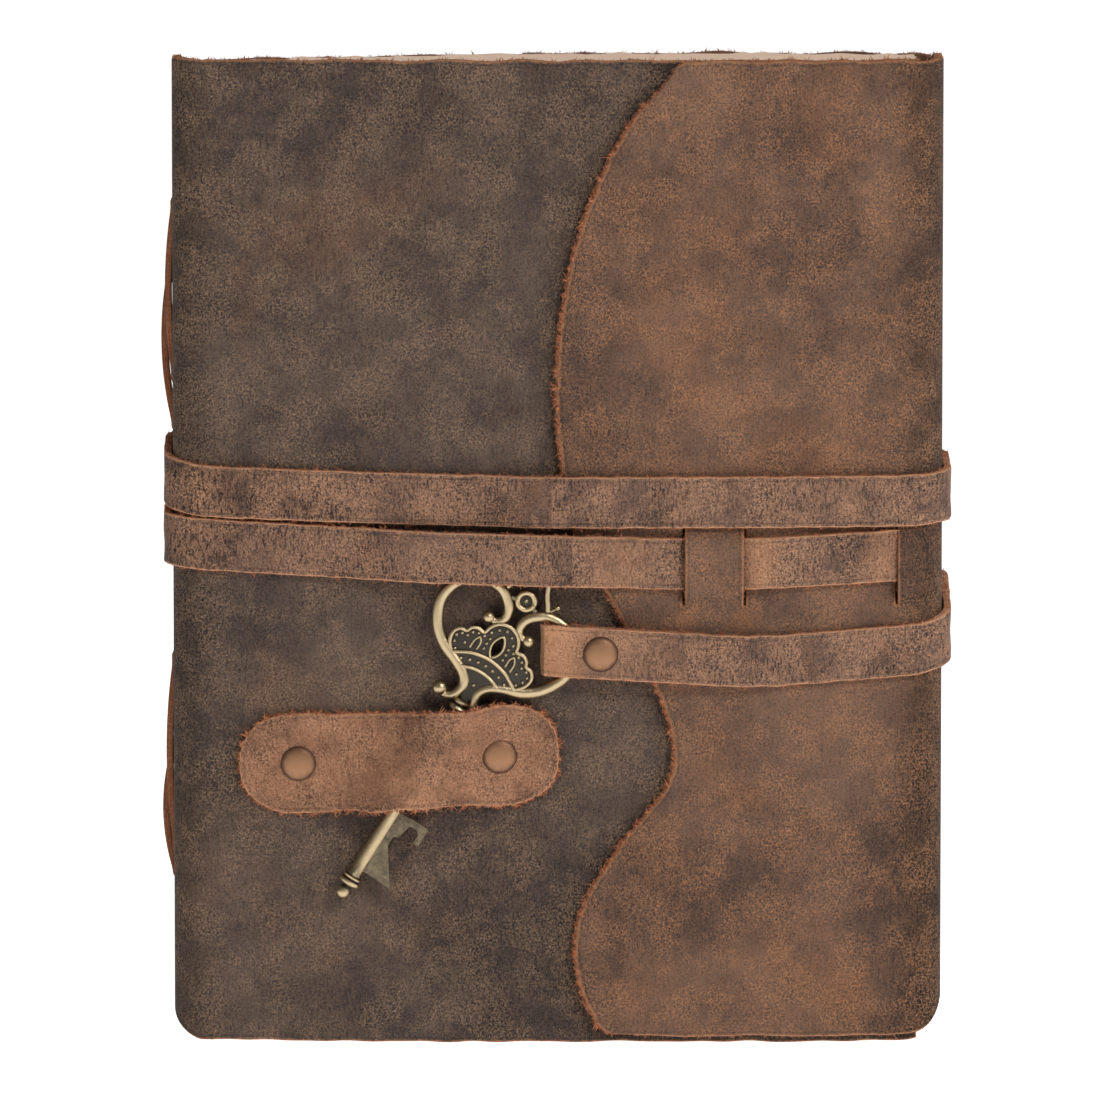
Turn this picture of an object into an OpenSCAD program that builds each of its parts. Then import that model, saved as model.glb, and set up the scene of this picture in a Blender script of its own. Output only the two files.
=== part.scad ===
// Wrap-around leather journal: hide cover with a flap, a wound strap and a key that closes it.
// Millimetres, +Z up, the flap faces -Y, the fore edge is at +X and the spine at -X.

/* [Cover] */
// Height of the hide
cover_h = 203; // [195:1:210]
// Width from spine to fore edge, over the hide
cover_w = 158; // [152:1:164]
// Depth from the front cover to the back cover, over the hide
cover_t = 32; // [31:0.5:36]
// Thickness of the hide
leather_t = 2; // [1.6:0.1:2.1]
// Outer radius of the hide where it turns round the spine
spine_r = 6; // [5:0.5:7]
// Outer radius of the hide where it turns round the fore edge
fore_r = 5; // [4.5:0.5:6]
// Radius of the trimmed lower corner beside the spine
spine_trim_r = 6; // [2:1:8]
// Radius of the trimmed lower corner beside the fore edge
fore_trim_r = 8; // [2:1:10]

/* [Pages] */
// Number of folded gatherings
signature_count = 8; // [6:1:8]
// Height of the paper
page_h = 200; // [190:1:200]

/* [Strap] */
// Width of the closing strap
strap_w = 10.5; // [9.5:0.1:10.7]
// Thickness of the closing strap
strap_t = 1.6; // [1.2:0.1:1.6]

/* [Key] */
// Angle that the key leans towards the fore edge
key_lean = 32; // [30:1:34]
// Radius of the key's shaft
shaft_r = 1.45; // [1.2:0.05:1.5]
// Thickness of the key's flat parts
bow_t = 2; // [1.6:0.1:2]

/* [Keeper] */
// Length of the riveted keeper
keeper_l = 66; // [64:1:68]
// Height of the riveted keeper
keeper_h = 20.5; // [19:0.5:21]
// Diameter of the rivet caps
rivet_d = 7.2; // [6.5:0.1:7.4]

/* [Hidden] */

$fn = 48;
gap = 0.3;                              // clearance between pieces that move apart
touch = 0.1;                            // clearance between pieces of one body
fold_gap = 0.9;                         // bare stretch that lets a panel swing at its fold
bend_steps = 6;                         // flats in a quarter turn of the strap
flap_lift = gap + leather_t;            // from the front cover's face to the flap's face
over_key = 4.3;                         // inner face of the strap where it crosses the key
key_level = 3;                          // middle of the key above the front cover
thong_out = 2.7;                        // how far the outer thongs stand off the spine
strap_out = gap + strap_t;
rivet_dome = 1;
key_cap_level = over_key + strap_t;     // where the strap rivet's cap sits

// the object's box is centred on the origin
shift_x = (thong_out - strap_out) / 2;
shift_y = (key_cap_level + rivet_dome - 2 * strap_out) / 2;

half_w = cover_w / 2;
half_t = cover_t / 2;
spine_end = -half_w + spine_r;          // where the front and back panels start
fore_end = half_w - fore_r;             // where they end
flap_face = -half_t - flap_lift;

// Fore-edge side of the flap: its free edge from top to bottom, as [x, z]
flap_edge = [
    [27, 212], [23.9, 203], [11.2, 183], [3, 160.5], [0.1, 133], [4, 106.2], [14.2, 86.7],
    [23.1, 67.2], [23.1, 54], [13.2, 40.6], [5, 26.2], [4.4, 13], [9.1, 2], [16, 0], [25, -3]
];
edge_steps = 5;
slit_x = [25.9, 38.4, 69.6];            // the three slits, from the free edge to the fore edge
slit_w = 2.4;
slit_z = [91, 106.4];

// Middle heights of the strap along each pass, as [x, z]
upper_z = [[spine_end, 114], [-52, 113], [0, 112.3], [60, 111.9], [fore_end, 112.6]];
lower_z = [[spine_end, 103.1], [-63, 102.4], [-32, 101.4], [0, 100.5], [26, 99.6], [38.4, 99.6],
           [69.6, 101.2], [80, 101.6]];
key_z = [[-3.8, 82], [9, 81.4], [29, 80.2], [40, 79.7], [60, 79.7], [fore_end, 81.8]];
// heights at the corners: spine front, spine back, fore edge back, fore edge front
upper_turn = [116, 118.5, 114.5, 113.4];
lower_turn = [104, 104.8];
key_turn = [89.5, 84.5];

upper_cut = -1;                         // where the passes change body, beside the flap's edge
lower_cut = 3;
key_cut = 36;

key_tip = [-44, 31.8];
key_axis = [sin(key_lean), cos(key_lean)];
keeper_at = [-32.3, 60];
keeper_lean = -2.5;
keeper_rivets = [-20.7, 20.7];
strap_rivet_x = 8.9;
post_r = 1.5;

function along(table, x) = lookup(x, table);

// point t of the way from b to c on a curve that passes through a, b, c and d
function through(a, b, c, d, t) =
    0.5 * (2 * b + (c - a) * t + (2 * a - 5 * b + 4 * c - d) * t * t
           + (3 * b - a - 3 * c + d) * t * t * t);
function smooth_curve(p) = [
    for (i = [1:len(p) - 3], k = [0:edge_steps - 1])
        through(p[i - 1], p[i], p[i + 1], p[i + 2], k / edge_steps)
];

// direction of a path in plan at point i, and its outward offset with the corners mitred
function unit(v) = v / norm(v);
function plan(p) = [p[0], p[1]];
function leg(path, i) = unit(plan(path[i + 1]) - plan(path[i]));
function before(path, i) = leg(path, max(i - 1, 0));
function after(path, i) = leg(path, min(i, len(path) - 2));
function mitre(path, i) =
    let (d = unit(before(path, i) + after(path, i)))
    [d[1], -d[0]] / max(d * after(path, i), 0.5);

// A strip of strap standing on edge along a path of [x, y, z], z being its middle
module ribbon(path, thick = strap_t, width = strap_w) {
    last = len(path) - 1;
    corners = [
        for (i = [0:last], side = [-1, 1], up = [-1, 1])
            let (m = mitre(path, i) * side * thick / 2)
            [path[i][0] + m[0], path[i][1] + m[1], path[i][2] + up * width / 2]
    ];
    ring = [0, 1, 3, 2];
    walls = [
        for (i = [0:last - 1], k = [0:3])
            let (a = 4 * i + ring[k], b = 4 * i + ring[(k + 1) % 4])
            each [[a, b, b + 4], [a, b + 4, a + 4]]
    ];
    caps = [[0, 2, 3], [0, 3, 1], [4 * last, 4 * last + 1, 4 * last + 3],
            [4 * last, 4 * last + 3, 4 * last + 2]];
    polyhedron(corners, concat(walls, caps), convexity = 6);
}

// path pieces: straight levels over a panel, and a quarter turn round a corner
function front_path(stops, table) = [
    for (s = stops) [s[0], -half_t - s[1] - strap_t / 2, along(table, s[0])]
];
function turn_path(cx, cy, r, from, to, z0, z1) = [
    for (k = [0:bend_steps])
        let (t = k / bend_steps, a = from + (to - from) * t)
        [cx + r * cos(a), cy + r * sin(a), z0 + (z1 - z0) * t]
];
spine_bend_r = spine_r + gap + strap_t / 2;
fore_bend_r = fore_r + gap + strap_t / 2;
function spine_path(z0, z1) = concat(
    [[-half_w - gap - strap_t / 2, -half_t + spine_r + touch, z0]],
    turn_path(spine_end, half_t - spine_r, spine_bend_r, 180, 90, z0, z1)
);
function back_path(z0, z1, levels) = [
    for (s = levels)
        [s[0], half_t + s[1] + strap_t / 2,
         z0 + (z1 - z0) * (s[0] - spine_end) / (fore_end - spine_end)]
];

module placed() translate([shift_x, shift_y, 0]) children();

// cuts the hide's lower corners round, as seen from the front
module trimmed() {
    intersection() {
        children();
        translate([0, cover_t, 0]) rotate([90, 0, 0]) linear_extrude(2 * cover_t) trim_2d();
    }
}
module trim_2d() {
    difference() {
        translate([-half_w - 1, 0]) square([cover_w + 2, cover_h]);
        difference() {
            translate([-half_w - 2, -1]) square([spine_trim_r + 2, spine_trim_r + 1]);
            translate([-half_w + spine_trim_r, spine_trim_r]) circle(spine_trim_r);
        }
        difference() {
            translate([half_w - fore_trim_r, -1]) square([fore_trim_r + 2, fore_trim_r + 1]);
            translate([half_w - fore_trim_r, fore_trim_r]) circle(fore_trim_r);
        }
    }
}

// quarter ring of hide in plan, centred on the origin, in the quadrant that starts at angle a
module hide_turn(r, a) {
    intersection() {
        difference() {
            circle(r);
            circle(r - leather_t);
        }
        rotate(a) square(r + 1);
    }
}

module back_cover() color([0.27, 0.20, 0.15]) placed() trimmed() linear_extrude(cover_h) union() {
    translate([spine_end + touch, half_t - leather_t])
        square([fore_end - spine_end - touch, leather_t]);
    translate([fore_end, half_t - fore_r]) hide_turn(fore_r, 0);
}

thong_w = 5;
thong_t = 1.4;
// each thong: its place across the spine, lower end, upper end and how far it bows out
thongs = [[-5.5, 135, 174.5, 1.7], [5.5, 124, 164.4, thong_out],
          [-5.5, 37.5, 80.6, 1.7], [5.5, 31, 62, thong_out]];

module spine() color([0.24, 0.17, 0.13]) placed() difference() {
    trimmed() linear_extrude(cover_h) union() {
        translate([-half_w, -half_t + spine_r]) square([leather_t, cover_t - 2 * spine_r]);
        translate([spine_end, -half_t + spine_r]) hide_turn(spine_r, 180);
        translate([spine_end, half_t - spine_r]) hide_turn(spine_r, 90);
    }
    for (t = thongs, z = [t[1], t[2] - thong_t])
        translate([-half_w - 1, t[0] - thong_w / 2 - touch, z - touch])
            cube([leather_t + 2, thong_w + 2 * touch, thong_t + 2 * touch]);
}

// one lacing thong: a bowed strip outside the spine with a leg through it at each end
module thong(t) {
    span = t[2] - t[1];
    r = (span * span / 4 + t[3] * t[3]) / (2 * t[3]);
    middle = [-half_w - t[3] + r, (t[1] + t[2]) / 2];
    color([0.62, 0.38, 0.24]) placed() translate([0, t[0] + thong_w / 2, 0]) rotate([90, 0, 0])
        linear_extrude(thong_w) union() {
            intersection() {
                difference() {
                    translate(middle) circle(r, $fn = 200);
                    translate(middle) circle(r - thong_t, $fn = 200);
                }
                translate([-half_w - 5, t[1]]) square([5 - touch, span]);
            }
            for (z = [t[1], t[2] - thong_t])
                translate([-half_w - thong_t / 2, z])
                    square([leather_t + thong_t / 2 + gap, thong_t]);
        }
}
module thong_upper_front() thong(thongs[0]);
module thong_upper_back() thong(thongs[1]);
module thong_lower_front() thong(thongs[2]);
module thong_lower_back() thong(thongs[3]);

rivet_room = 1.2;                       // inside the front cover, for the rivets' backs
block_t = cover_t - 2 * leather_t - rivet_room - gap;
signature_pitch = block_t / signature_count;
// one folded gathering, rounded at its fold
module signature(i) {
    thick = signature_pitch - touch;
    y = -half_t + leather_t + rivet_room + signature_pitch * (i - 0.5);
    fold_x = -half_w + leather_t + 2;
    color([0.93, 0.84, 0.74]) placed() translate([0, 0, (cover_h - page_h) / 2])
        linear_extrude(page_h) union() {
            translate([fold_x + thick / 2, y]) circle(thick / 2);
            translate([fold_x + thick / 2, y - thick / 2])
                square([half_w - leather_t - 3 - fold_x - thick / 2, thick]);
        }
}

module strap_leather() color([0.43, 0.30, 0.24]) placed() children();

module strap_back_upper() strap_leather() ribbon(back_path(lower_turn[1], upper_turn[2],
    [[spine_end + touch, gap], [fore_end - touch, gap]]));
module strap_back_lower() strap_leather() ribbon(back_path(upper_turn[1], key_turn[0],
    [[spine_end + touch, gap], [-71.5, gap], [-65.5, strap_out + gap], [24, strap_out + gap],
     [30, gap], [fore_end - touch, gap]]));
module strap_spine_upper() strap_leather() ribbon(spine_path(upper_turn[0], upper_turn[1]));
module strap_spine_lower() strap_leather() ribbon(spine_path(lower_turn[0], lower_turn[1]));
// the strap where it turns from the spine to the front cover
module strap_spine_bends() strap_leather() for (z = [[along(upper_z, spine_end), upper_turn[0]],
                                                     [along(lower_z, spine_end), lower_turn[0]]])
    ribbon(turn_path(spine_end, -half_t + spine_r, spine_bend_r, 270, 180, z[0], z[1]));

module post_hole(p, r) translate([p[0], 0, p[1]]) rotate([90, 0, 0]) cylinder(h = cover_t, r = r);
function keeper_point(x) =
    [keeper_at[0] + x * cos(keeper_lean), keeper_at[1] - x * sin(keeper_lean)];

module front_cover() color([0.27, 0.21, 0.17]) placed() difference() {
    trimmed() translate([spine_end + fold_gap, -half_t, 0])
        cube([fore_end - spine_end - fold_gap, leather_t, cover_h]);
    for (x = keeper_rivets) post_hole(keeper_point(x), post_r + touch);
}

// the keeper: two round lobes joined by a slim waist, with a channel that the key lies in
ridge_out = [8.4, 3.6, 6.5];            // half width at the foot, half width on top, height
ridge_in = [7, 2.8, 4.9];
module keeper_outline() {
    lobe_r = keeper_h / 2;
    reach = keeper_l / 2 - lobe_r;
    union() {
        for (s = [-1, 1]) translate([s * reach, 0]) circle(lobe_r);
        translate([-reach, -keeper_h / 2 + 0.6]) square([2 * reach, keeper_h - 1.2]);
    }
}
module ridge(r, foot) {
    translate([key_tip[0], -half_t, key_tip[1]]) rotate([0, key_lean, 0]) rotate([0, 0, 180])
        linear_extrude(60) polygon([[-r[0], -foot], [-r[0], 0], [-r[1], r[2]], [r[1], r[2]],
                                    [r[0], 0], [r[0], -foot]]);
}
module keeper() color([0.50, 0.33, 0.22]) placed() difference() {
    intersection() {
        translate([keeper_at[0], -half_t - touch / 2, keeper_at[1]]) rotate([90, keeper_lean, 0])
            linear_extrude(8) keeper_outline();
        union() {
            translate([-half_w, -half_t - touch / 2 - strap_t, 30]) cube([cover_w, strap_t, 60]);
            ridge(ridge_out, 0);
        }
    }
    ridge(ridge_in, 1);
    // room for the key's collar and curls under the upper edge
    key_frame() {
        disc(43.8, 8, 2.6);
        translate([-6.5, -bow_t / 2 - gap, 44]) cube([13, bow_t + 2 * gap, 8]);
    }
    for (x = keeper_rivets) post_hole(keeper_point(x), post_r + touch / 2);
}

// shallow domed rivet cap, its flat side towards +Y at the given place
module rivet_cap(p, level, d = rivet_d) {
    dome_r = (d * d / 4 + rivet_dome * rivet_dome) / (2 * rivet_dome);
    translate([p[0], -half_t - level, p[1]]) rotate([90, 0, 0]) intersection() {
        cylinder(h = rivet_dome, d = d, $fn = 160);
        translate([0, 0, rivet_dome - dome_r]) sphere(dome_r, $fn = 160);
    }
}
keeper_cap_level = strap_t + touch / 2;
module keeper_rivet_caps() color([0.45, 0.33, 0.22]) placed()
    for (x = keeper_rivets) rivet_cap(keeper_point(x), keeper_cap_level + touch / 2);
module keeper_rivet_posts() color([0.42, 0.32, 0.22]) placed() for (x = keeper_rivets)
    translate([keeper_point(x)[0], -half_t + leather_t + touch / 2, keeper_point(x)[1]]) union() {
        rotate([90, 0, 0]) cylinder(h = leather_t + keeper_cap_level, r = post_r);
        rotate([-90, 0, 0]) cylinder(h = rivet_room - gap, d = rivet_d - 1);
    }

module strap_left_upper() strap_leather() ribbon(front_path(
    [[upper_cut - touch, flap_lift + gap], [-4, flap_lift + gap], [-12, gap],
     [spine_end + touch, gap]], upper_z));
module strap_left_lower() strap_leather() ribbon(front_path(
    [[lower_cut - touch, over_key], [-22, over_key], [-40, gap], [spine_end + touch, gap]],
    lower_z));

module fore_edge() color([0.24, 0.18, 0.14]) placed() trimmed() linear_extrude(cover_h) union() {
    translate([half_w - leather_t, flap_face + fore_r])
        square([leather_t, half_t - fore_r - fold_gap - flap_face - fore_r]);
    translate([fore_end, flap_face + fore_r]) hide_turn(fore_r, 270);
}
fore_strap_x = half_w + gap + strap_t / 2;
module fore_edge_strip(z) strap_leather() ribbon(
    [[fore_strap_x, half_t - fore_r - touch, z[0]], [fore_strap_x, flap_face + fore_r + touch, z[1]]]);
module strap_fore_edge_upper() fore_edge_strip([upper_turn[2], upper_turn[3]]);
module strap_fore_edge_key() fore_edge_strip(key_turn);
// the strap where it turns from the back cover to the fore edge, and from there to the flap
module strap_fore_edge_bends() strap_leather() for (z = [upper_turn[2], key_turn[0]])
    ribbon(turn_path(fore_end, half_t - fore_r, fore_bend_r, 90, 0, z, z));
module strap_flap_bends() strap_leather()
    for (z = [[upper_turn[3], along(upper_z, fore_end)], [key_turn[1], along(key_z, fore_end)]])
        ribbon(turn_path(fore_end, flap_face + fore_r, fore_bend_r, 0, -90, z[0], z[1]));

// plan of a raised patch of the flap where the strap runs beneath it
raise = strap_t + gap;
module flap_swell(x0, x1) {
    translate([x0, flap_face - raise, slit_z[0]])
        cube([x1 - x0, raise + leather_t / 2, slit_z[1] - slit_z[0]]);
}
module flap_hollow(x0, x1, mid_z) {
    translate([x0, -half_t - gap - raise, mid_z - strap_w / 2 - gap])
        cube([x1 - x0, raise + 1, strap_w + 2 * gap]);
}
bridge = [slit_x[0] + slit_w / 2, slit_x[1] - slit_w / 2];
module flap() color([0.37, 0.27, 0.20]) placed() difference() {
    union() {
        trimmed() translate([0, -half_t - gap, 0]) rotate([90, 0, 0]) linear_extrude(leather_t)
            difference() {
                translate([-5, 0]) square([fore_end - fold_gap + 5, cover_h]);
                polygon(concat([[-10, -4]], [[-10, cover_h + 6]], smooth_curve(flap_edge)));
            }
        flap_swell(bridge[0], bridge[1]);
    }
    for (x = slit_x) translate([x - slit_w / 2, flap_face - 4, slit_z[0]])
        cube([slit_w, 8, slit_z[1] - slit_z[0]]);
    flap_hollow(bridge[0] - 1, bridge[1] + 1, along(lower_z, slit_x[0]));
}

over_flap = flap_lift + touch;          // inner face of the strap on the flap
module strap_right_upper() strap_leather() ribbon(front_path(
    [[fore_end - touch, flap_lift + gap], [upper_cut + touch, flap_lift + gap]], upper_z));
// from under the bridge, out of the first slit and on to the flap's edge
module strap_right_lower() strap_leather() ribbon(front_path(
    [[bridge[0] + 6, touch], [slit_x[0] + 0.1, touch], [slit_x[0] - 0.1, over_flap],
     [14, over_flap], [5, over_key], [lower_cut + touch, over_key]], lower_z));
// from behind the third slit, over the flap, down the second slit and under the bridge
module strap_threaded_end() strap_leather() ribbon(front_path(
    [[slit_x[2] + 0.1, gap + 0.9], [slit_x[2] - 0.1, over_flap], [slit_x[1] + 0.1, over_flap],
     [slit_x[1] - 0.1, touch], [bridge[0] + 6.2, touch]], lower_z));
module strap_key_run() strap_leather() ribbon(front_path(
    [[fore_end - touch, flap_lift + gap], [key_cut + 8, flap_lift + gap],
     [key_cut + touch, over_key]], key_z));

// the key stands in its own frame: shaft along +Z, tip at the origin, across along +X
module key_frame() translate([key_tip[0], -half_t - key_level, key_tip[1]])
    rotate([0, key_lean, 0]) children();
module key_plate(t = bow_t) translate([0, t / 2, 0]) rotate([90, 0, 0]) linear_extrude(t) children();
module disc(z0, h, r) translate([0, 0, z0]) cylinder(h = h, r = r);
module ring_2d(at, r, bar) translate(at) difference() {
    circle(r);
    circle(r - bar);
}
scroll_at = [7.7, 64.2];
scroll_r = 7.4;
scroll_bar = 1.64;
module bow_2d() {
    union() {
        polygon([[-2.3, 45], [2.3, 45], [4.8, 52.4], [7.6, 54.2], [9.1, 57.2], [7.8, 59], [7, 59.5],
                 [5.6, 61.8], [3.7, 61.3], [2.4, 64.4], [0, 65.2], [-2.4, 64.4], [-3.7, 61.3],
                 [-5.6, 61.8], [-7, 59.5], [-7.8, 59], [-9.1, 57.2], [-7.6, 54.2], [-4.8, 52.4]]);
        for (s = [-1, 1]) {
            ring_2d([s * scroll_at[0], scroll_at[1]], scroll_r, scroll_bar);
            translate([s * 4.2, 48.2]) circle(1.7);
            polygon([[s * 5.2, 70.2], [s * 3, 73.4], [0, 81], [s * -0.4, 80.2], [s * 2.2, 72.6],
                     [s * 4.2, 69.2]]);
            translate([s * 3.2 - 1.2, 70.4]) square([2.4, 1]);
        }
        ring_2d([0, 70.9], 2.3, 0.9);
    }
}
module key() color([0.50, 0.43, 0.30]) placed() key_frame() union() {
    sphere(1.3);
    disc(0, 50, shaft_r);
    disc(2, 1.2, 2.4);
    disc(44.4, 1.3, 2.3);
    key_plate(1.8) polygon([[0, 5], [1.9, 5.8], [7.9, 5.6], [2.7, 13.1], [2.7, 15.1], [3.8, 16],
                            [4.4, 18.9], [6.1, 19], [6.7, 18.2], [6.6, 16.2], [8.1, 16.2],
                            [8.1, 20.2], [7.8, 20.4], [0, 20.4]]);
    key_plate() bow_2d();
}

fold_r = (over_key - gap) / 2;          // of the strap's middle where it folds round the key
fold_x = -3.8 + strap_t / 2 + fold_r;
function fold_path() = [
    for (k = [0:2 * bend_steps])
        let (a = -90 - 90 * k / bend_steps)
        [fold_x + fold_r * cos(a), -half_t - gap - strap_t / 2 - fold_r + fold_r * sin(a), 82]
];
// doubled strap end: tail behind, fold round the scroll, and the run in front of it
module strap_key_loop() strap_leather() difference() {
    ribbon(concat(
        front_path([[key_cut - touch, over_key]], key_z),
        fold_path(),
        front_path([[4.5, gap], [7, flap_lift + gap - 0.05], [key_cut - 7,
                    flap_lift + gap - 0.05]], key_z)
    ));
    post_hole([strap_rivet_x, along(key_z, strap_rivet_x)], post_r + touch / 2);
}
module strap_rivet_cap() color([0.45, 0.33, 0.22]) placed()
    rivet_cap([strap_rivet_x, along(key_z, strap_rivet_x)], key_cap_level + touch / 2);
module strap_rivet_post() color([0.42, 0.32, 0.22]) placed()
    translate([strap_rivet_x, -half_t - flap_lift - gap + 0.1, along(key_z, strap_rivet_x)]) {
        rotate([90, 0, 0]) cylinder(h = key_cap_level - flap_lift - gap, r = post_r);
        rotate([-90, 0, 0]) cylinder(h = 0.4, d = 3.6);
    }

back_cover();
spine();
for (i = [1:signature_count]) signature(i);
thong_upper_front();
thong_upper_back();
thong_lower_front();
thong_lower_back();
strap_back_upper();
strap_back_lower();
strap_spine_upper();
strap_spine_lower();
strap_spine_bends();
front_cover();
keeper();
keeper_rivet_caps();
keeper_rivet_posts();
strap_left_upper();
strap_left_lower();
fore_edge();
strap_fore_edge_upper();
strap_fore_edge_key();
strap_fore_edge_bends();
flap();
strap_right_upper();
strap_right_lower();
strap_threaded_end();
strap_key_run();
strap_flap_bends();
key();
strap_key_loop();
strap_rivet_cap();
strap_rivet_post();
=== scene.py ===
"""A wrap-around leather journal with a flap, a wound strap and a key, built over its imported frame.

Lengths below are in millimetres in the journal's own frame: the hide's box is centred on x and y,
z is the height above the table, the flap faces -Y, the spine is at -X and the fore edge at +X.
"""
import math

import bpy
import numpy as np
from bpy.props import FloatProperty, FloatVectorProperty, IntProperty, PointerProperty
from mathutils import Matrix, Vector


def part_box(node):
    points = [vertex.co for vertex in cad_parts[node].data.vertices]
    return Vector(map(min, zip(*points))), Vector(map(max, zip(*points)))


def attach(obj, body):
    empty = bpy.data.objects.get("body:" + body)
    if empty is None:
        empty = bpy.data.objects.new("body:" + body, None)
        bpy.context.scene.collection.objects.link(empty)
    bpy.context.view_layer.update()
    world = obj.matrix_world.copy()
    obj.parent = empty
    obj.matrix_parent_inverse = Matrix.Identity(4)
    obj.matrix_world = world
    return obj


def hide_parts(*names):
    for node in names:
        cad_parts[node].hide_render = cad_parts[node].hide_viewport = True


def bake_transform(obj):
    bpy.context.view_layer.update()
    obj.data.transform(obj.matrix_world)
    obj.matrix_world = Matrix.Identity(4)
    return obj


bl_info = {
    "name": "Wrap-Around Leather Journal",
    "version": (1, 0, 0),
    "blender": (4, 5, 0),
    "location": "3D View > Sidebar > Journal",
    "description": "Builds a leather journal with a flap, a wound strap and a key over its frame",
    "category": "Add Mesh",
}

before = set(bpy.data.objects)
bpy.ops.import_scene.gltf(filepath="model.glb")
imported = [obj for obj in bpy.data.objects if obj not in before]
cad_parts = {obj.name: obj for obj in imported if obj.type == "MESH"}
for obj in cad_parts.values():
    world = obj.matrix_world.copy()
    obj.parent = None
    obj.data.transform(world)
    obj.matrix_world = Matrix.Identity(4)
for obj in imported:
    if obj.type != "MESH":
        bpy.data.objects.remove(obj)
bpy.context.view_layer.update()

MM = 0.001


# ---------------------------------------------------------------- the journal's measures

def box_mm(node):
    """Lowest and highest corner of a frame node, in millimetres."""
    low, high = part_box(node)
    return np.array(low) / MM, np.array(high) / MM


spine_low, spine_high = box_mm("spine")
fore_low, fore_high = box_mm("fore_edge")
front_low, front_high = box_mm("front_cover")
back_high = box_mm("back_cover")[1]
page_low, page_high = box_mm("signature_1")
strap_low, strap_high = box_mm("strap_right_upper")

SHIFT = np.array([(spine_low[0] + fore_high[0]) / 2, (front_low[1] + back_high[1]) / 2, 0.0])
HALF_W = (fore_high[0] - spine_low[0]) / 2
HALF_T = (back_high[1] - front_low[1]) / 2
HIDE_H = front_high[2]
HIDE_T = front_high[1] - front_low[1]
SPINE_R = spine_high[0] - spine_low[0]
FORE_R = fore_high[0] - fore_low[0]
LIFT = front_low[1] - fore_low[1]           # how far the flap's face stands over the front cover's
PAGE_H = page_high[2] - page_low[2]
PAGE_Z = page_low[2]
STRAP_T = strap_high[1] - strap_low[1]
SPINE_END = SPINE_R - HALF_W                # where the front and back panels start
FORE_END = HALF_W - FORE_R                  # and where they end
FLAP_Y = -HALF_T - LIFT
SEAM_Y = (HALF_T - FORE_R + FLAP_Y + FORE_R) / 2    # middle of the fore-edge strip
CLEAR = 0.3
OVER_KEY = 4.3                              # the strap's inner face where it crosses the key
SIGNATURES = len([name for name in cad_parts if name.startswith("signature_")])

# The flap's free edge from top to bottom, as (x, z)
FLAP_EDGE = [(27, 212), (23.9, 203), (11.2, 183), (3, 160.5), (0.1, 133), (4, 106.2), (14.2, 86.7),
             (23.1, 67.2), (23.1, 54), (13.2, 40.6), (5, 26.2), (4.4, 13), (9.1, 2), (16, 0), (25, -3)]
FLAP_START = -10.0                          # where the flap's own measure along it starts
FLAP_PLACE = 600.0                          # and where its grain starts
SLIT_X = (25.9, 38.4, 69.6)
SLIT_Z = (91.0, 106.9)

# The strap's middle height along each pass, as (x, z)
UPPER_Z = [(-74, 114), (-52, 113), (0, 112.3), (60, 111.9), (75, 112.6)]
LOWER_Z = [(-74, 103.1), (-63, 102.4), (-32, 101.4), (0, 100.5), (26, 99.6), (38.4, 99.6),
           (69.6, 101.2), (80, 101.6)]
KEY_Z = [(-3.8, 82), (9, 81.4), (29, 80.2), (40, 79.7), (60, 79.7), (75, 81.8)]
# and at the corners: spine front and back, fore edge back and front
UPPER_TURN = (116, 118.5, 114.5, 113.4)
LOWER_TURN = (104, 104.8)
KEY_TURN = (89.5, 84.5)

KEY_TIP = (-44.0, 31.8)
KEY_LEVEL = 3.0
KEY_LEAN = 32.0                             # degrees from upright
KEEPER_AT = (-32.5, 58.9)
KEEPER_LEAN = math.radians(2.5)
KEEPER_RIVETS = (-20.7, 20.7)
STRAP_RIVET_X = 8.9


# ---------------------------------------------------------------- what a user may change

def linear(red, green, blue):
    """A colour given as 0-255 display values, as Blender's linear one."""
    return tuple(((c / 255 + 0.055) / 1.055) ** 2.4 if c > 10 else c / 255 / 12.92
                 for c in (red, green, blue)) + (1.0,)


def length(name, text, value, low=0.0, high=20.0):
    """A length property, given in millimetres."""
    return FloatProperty(name=name, description=text, default=value * MM, min=low * MM,
                         max=high * MM, unit="LENGTH", subtype="DISTANCE", precision=5)


def colour(name, text, red, green, blue):
    return FloatVectorProperty(name=name, description=text, default=linear(red, green, blue),
                               size=4, min=0.0, max=1.0, subtype="COLOR")


class JournalSizes(bpy.types.PropertyGroup):
    """Sizes of the journal's soft parts and small work."""
    strap_width: length("Strap width", "Width of the closing strap", 10.5, 9.0, 11.0)
    strap_thickness: length("Strap thickness", "Thickness of the closing strap", STRAP_T, 1.0, 1.8)
    edge_round: length("Edge rounding", "How far cut leather edges are rounded over", 0.45, 0.1, 0.8)
    slit_width: length("Slit width", "Width of the three slits in the flap", 0.5, 0.4, 2.0)
    fringe: length("Fringe", "Mean length of the loose fibres along raw edges", 0.6, 0.1, 1.5)
    deckle: length("Deckle", "Depth of the torn edge of the paper", 0.9, 0.0, 1.4)
    keeper_length: length("Keeper length", "Length of the riveted keeper", 66.0, 60.0, 70.0)
    keeper_height: length("Keeper height", "Height of the riveted keeper", 20.5, 19.0, 21.0)
    cap_width: length("Rivet cap", "Diameter of the rivet caps", 7.2, 6.0, 8.0)
    squeeze_spine: FloatProperty(name="Spine squeeze", description="How much thinner the journal "
                                 "is at its spine than in the middle", default=0.28, min=0.0,
                                 max=0.35, subtype="FACTOR")
    squeeze_fore: FloatProperty(name="Fore-edge squeeze", description="How much thinner the "
                                "journal is at its fore edge than in the middle", default=0.17,
                                min=0.0, max=0.3, subtype="FACTOR")
    leaves: IntProperty(name="Sheets", description="Folded sheets in each gathering of pages",
                        default=4, min=2, max=4)


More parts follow.
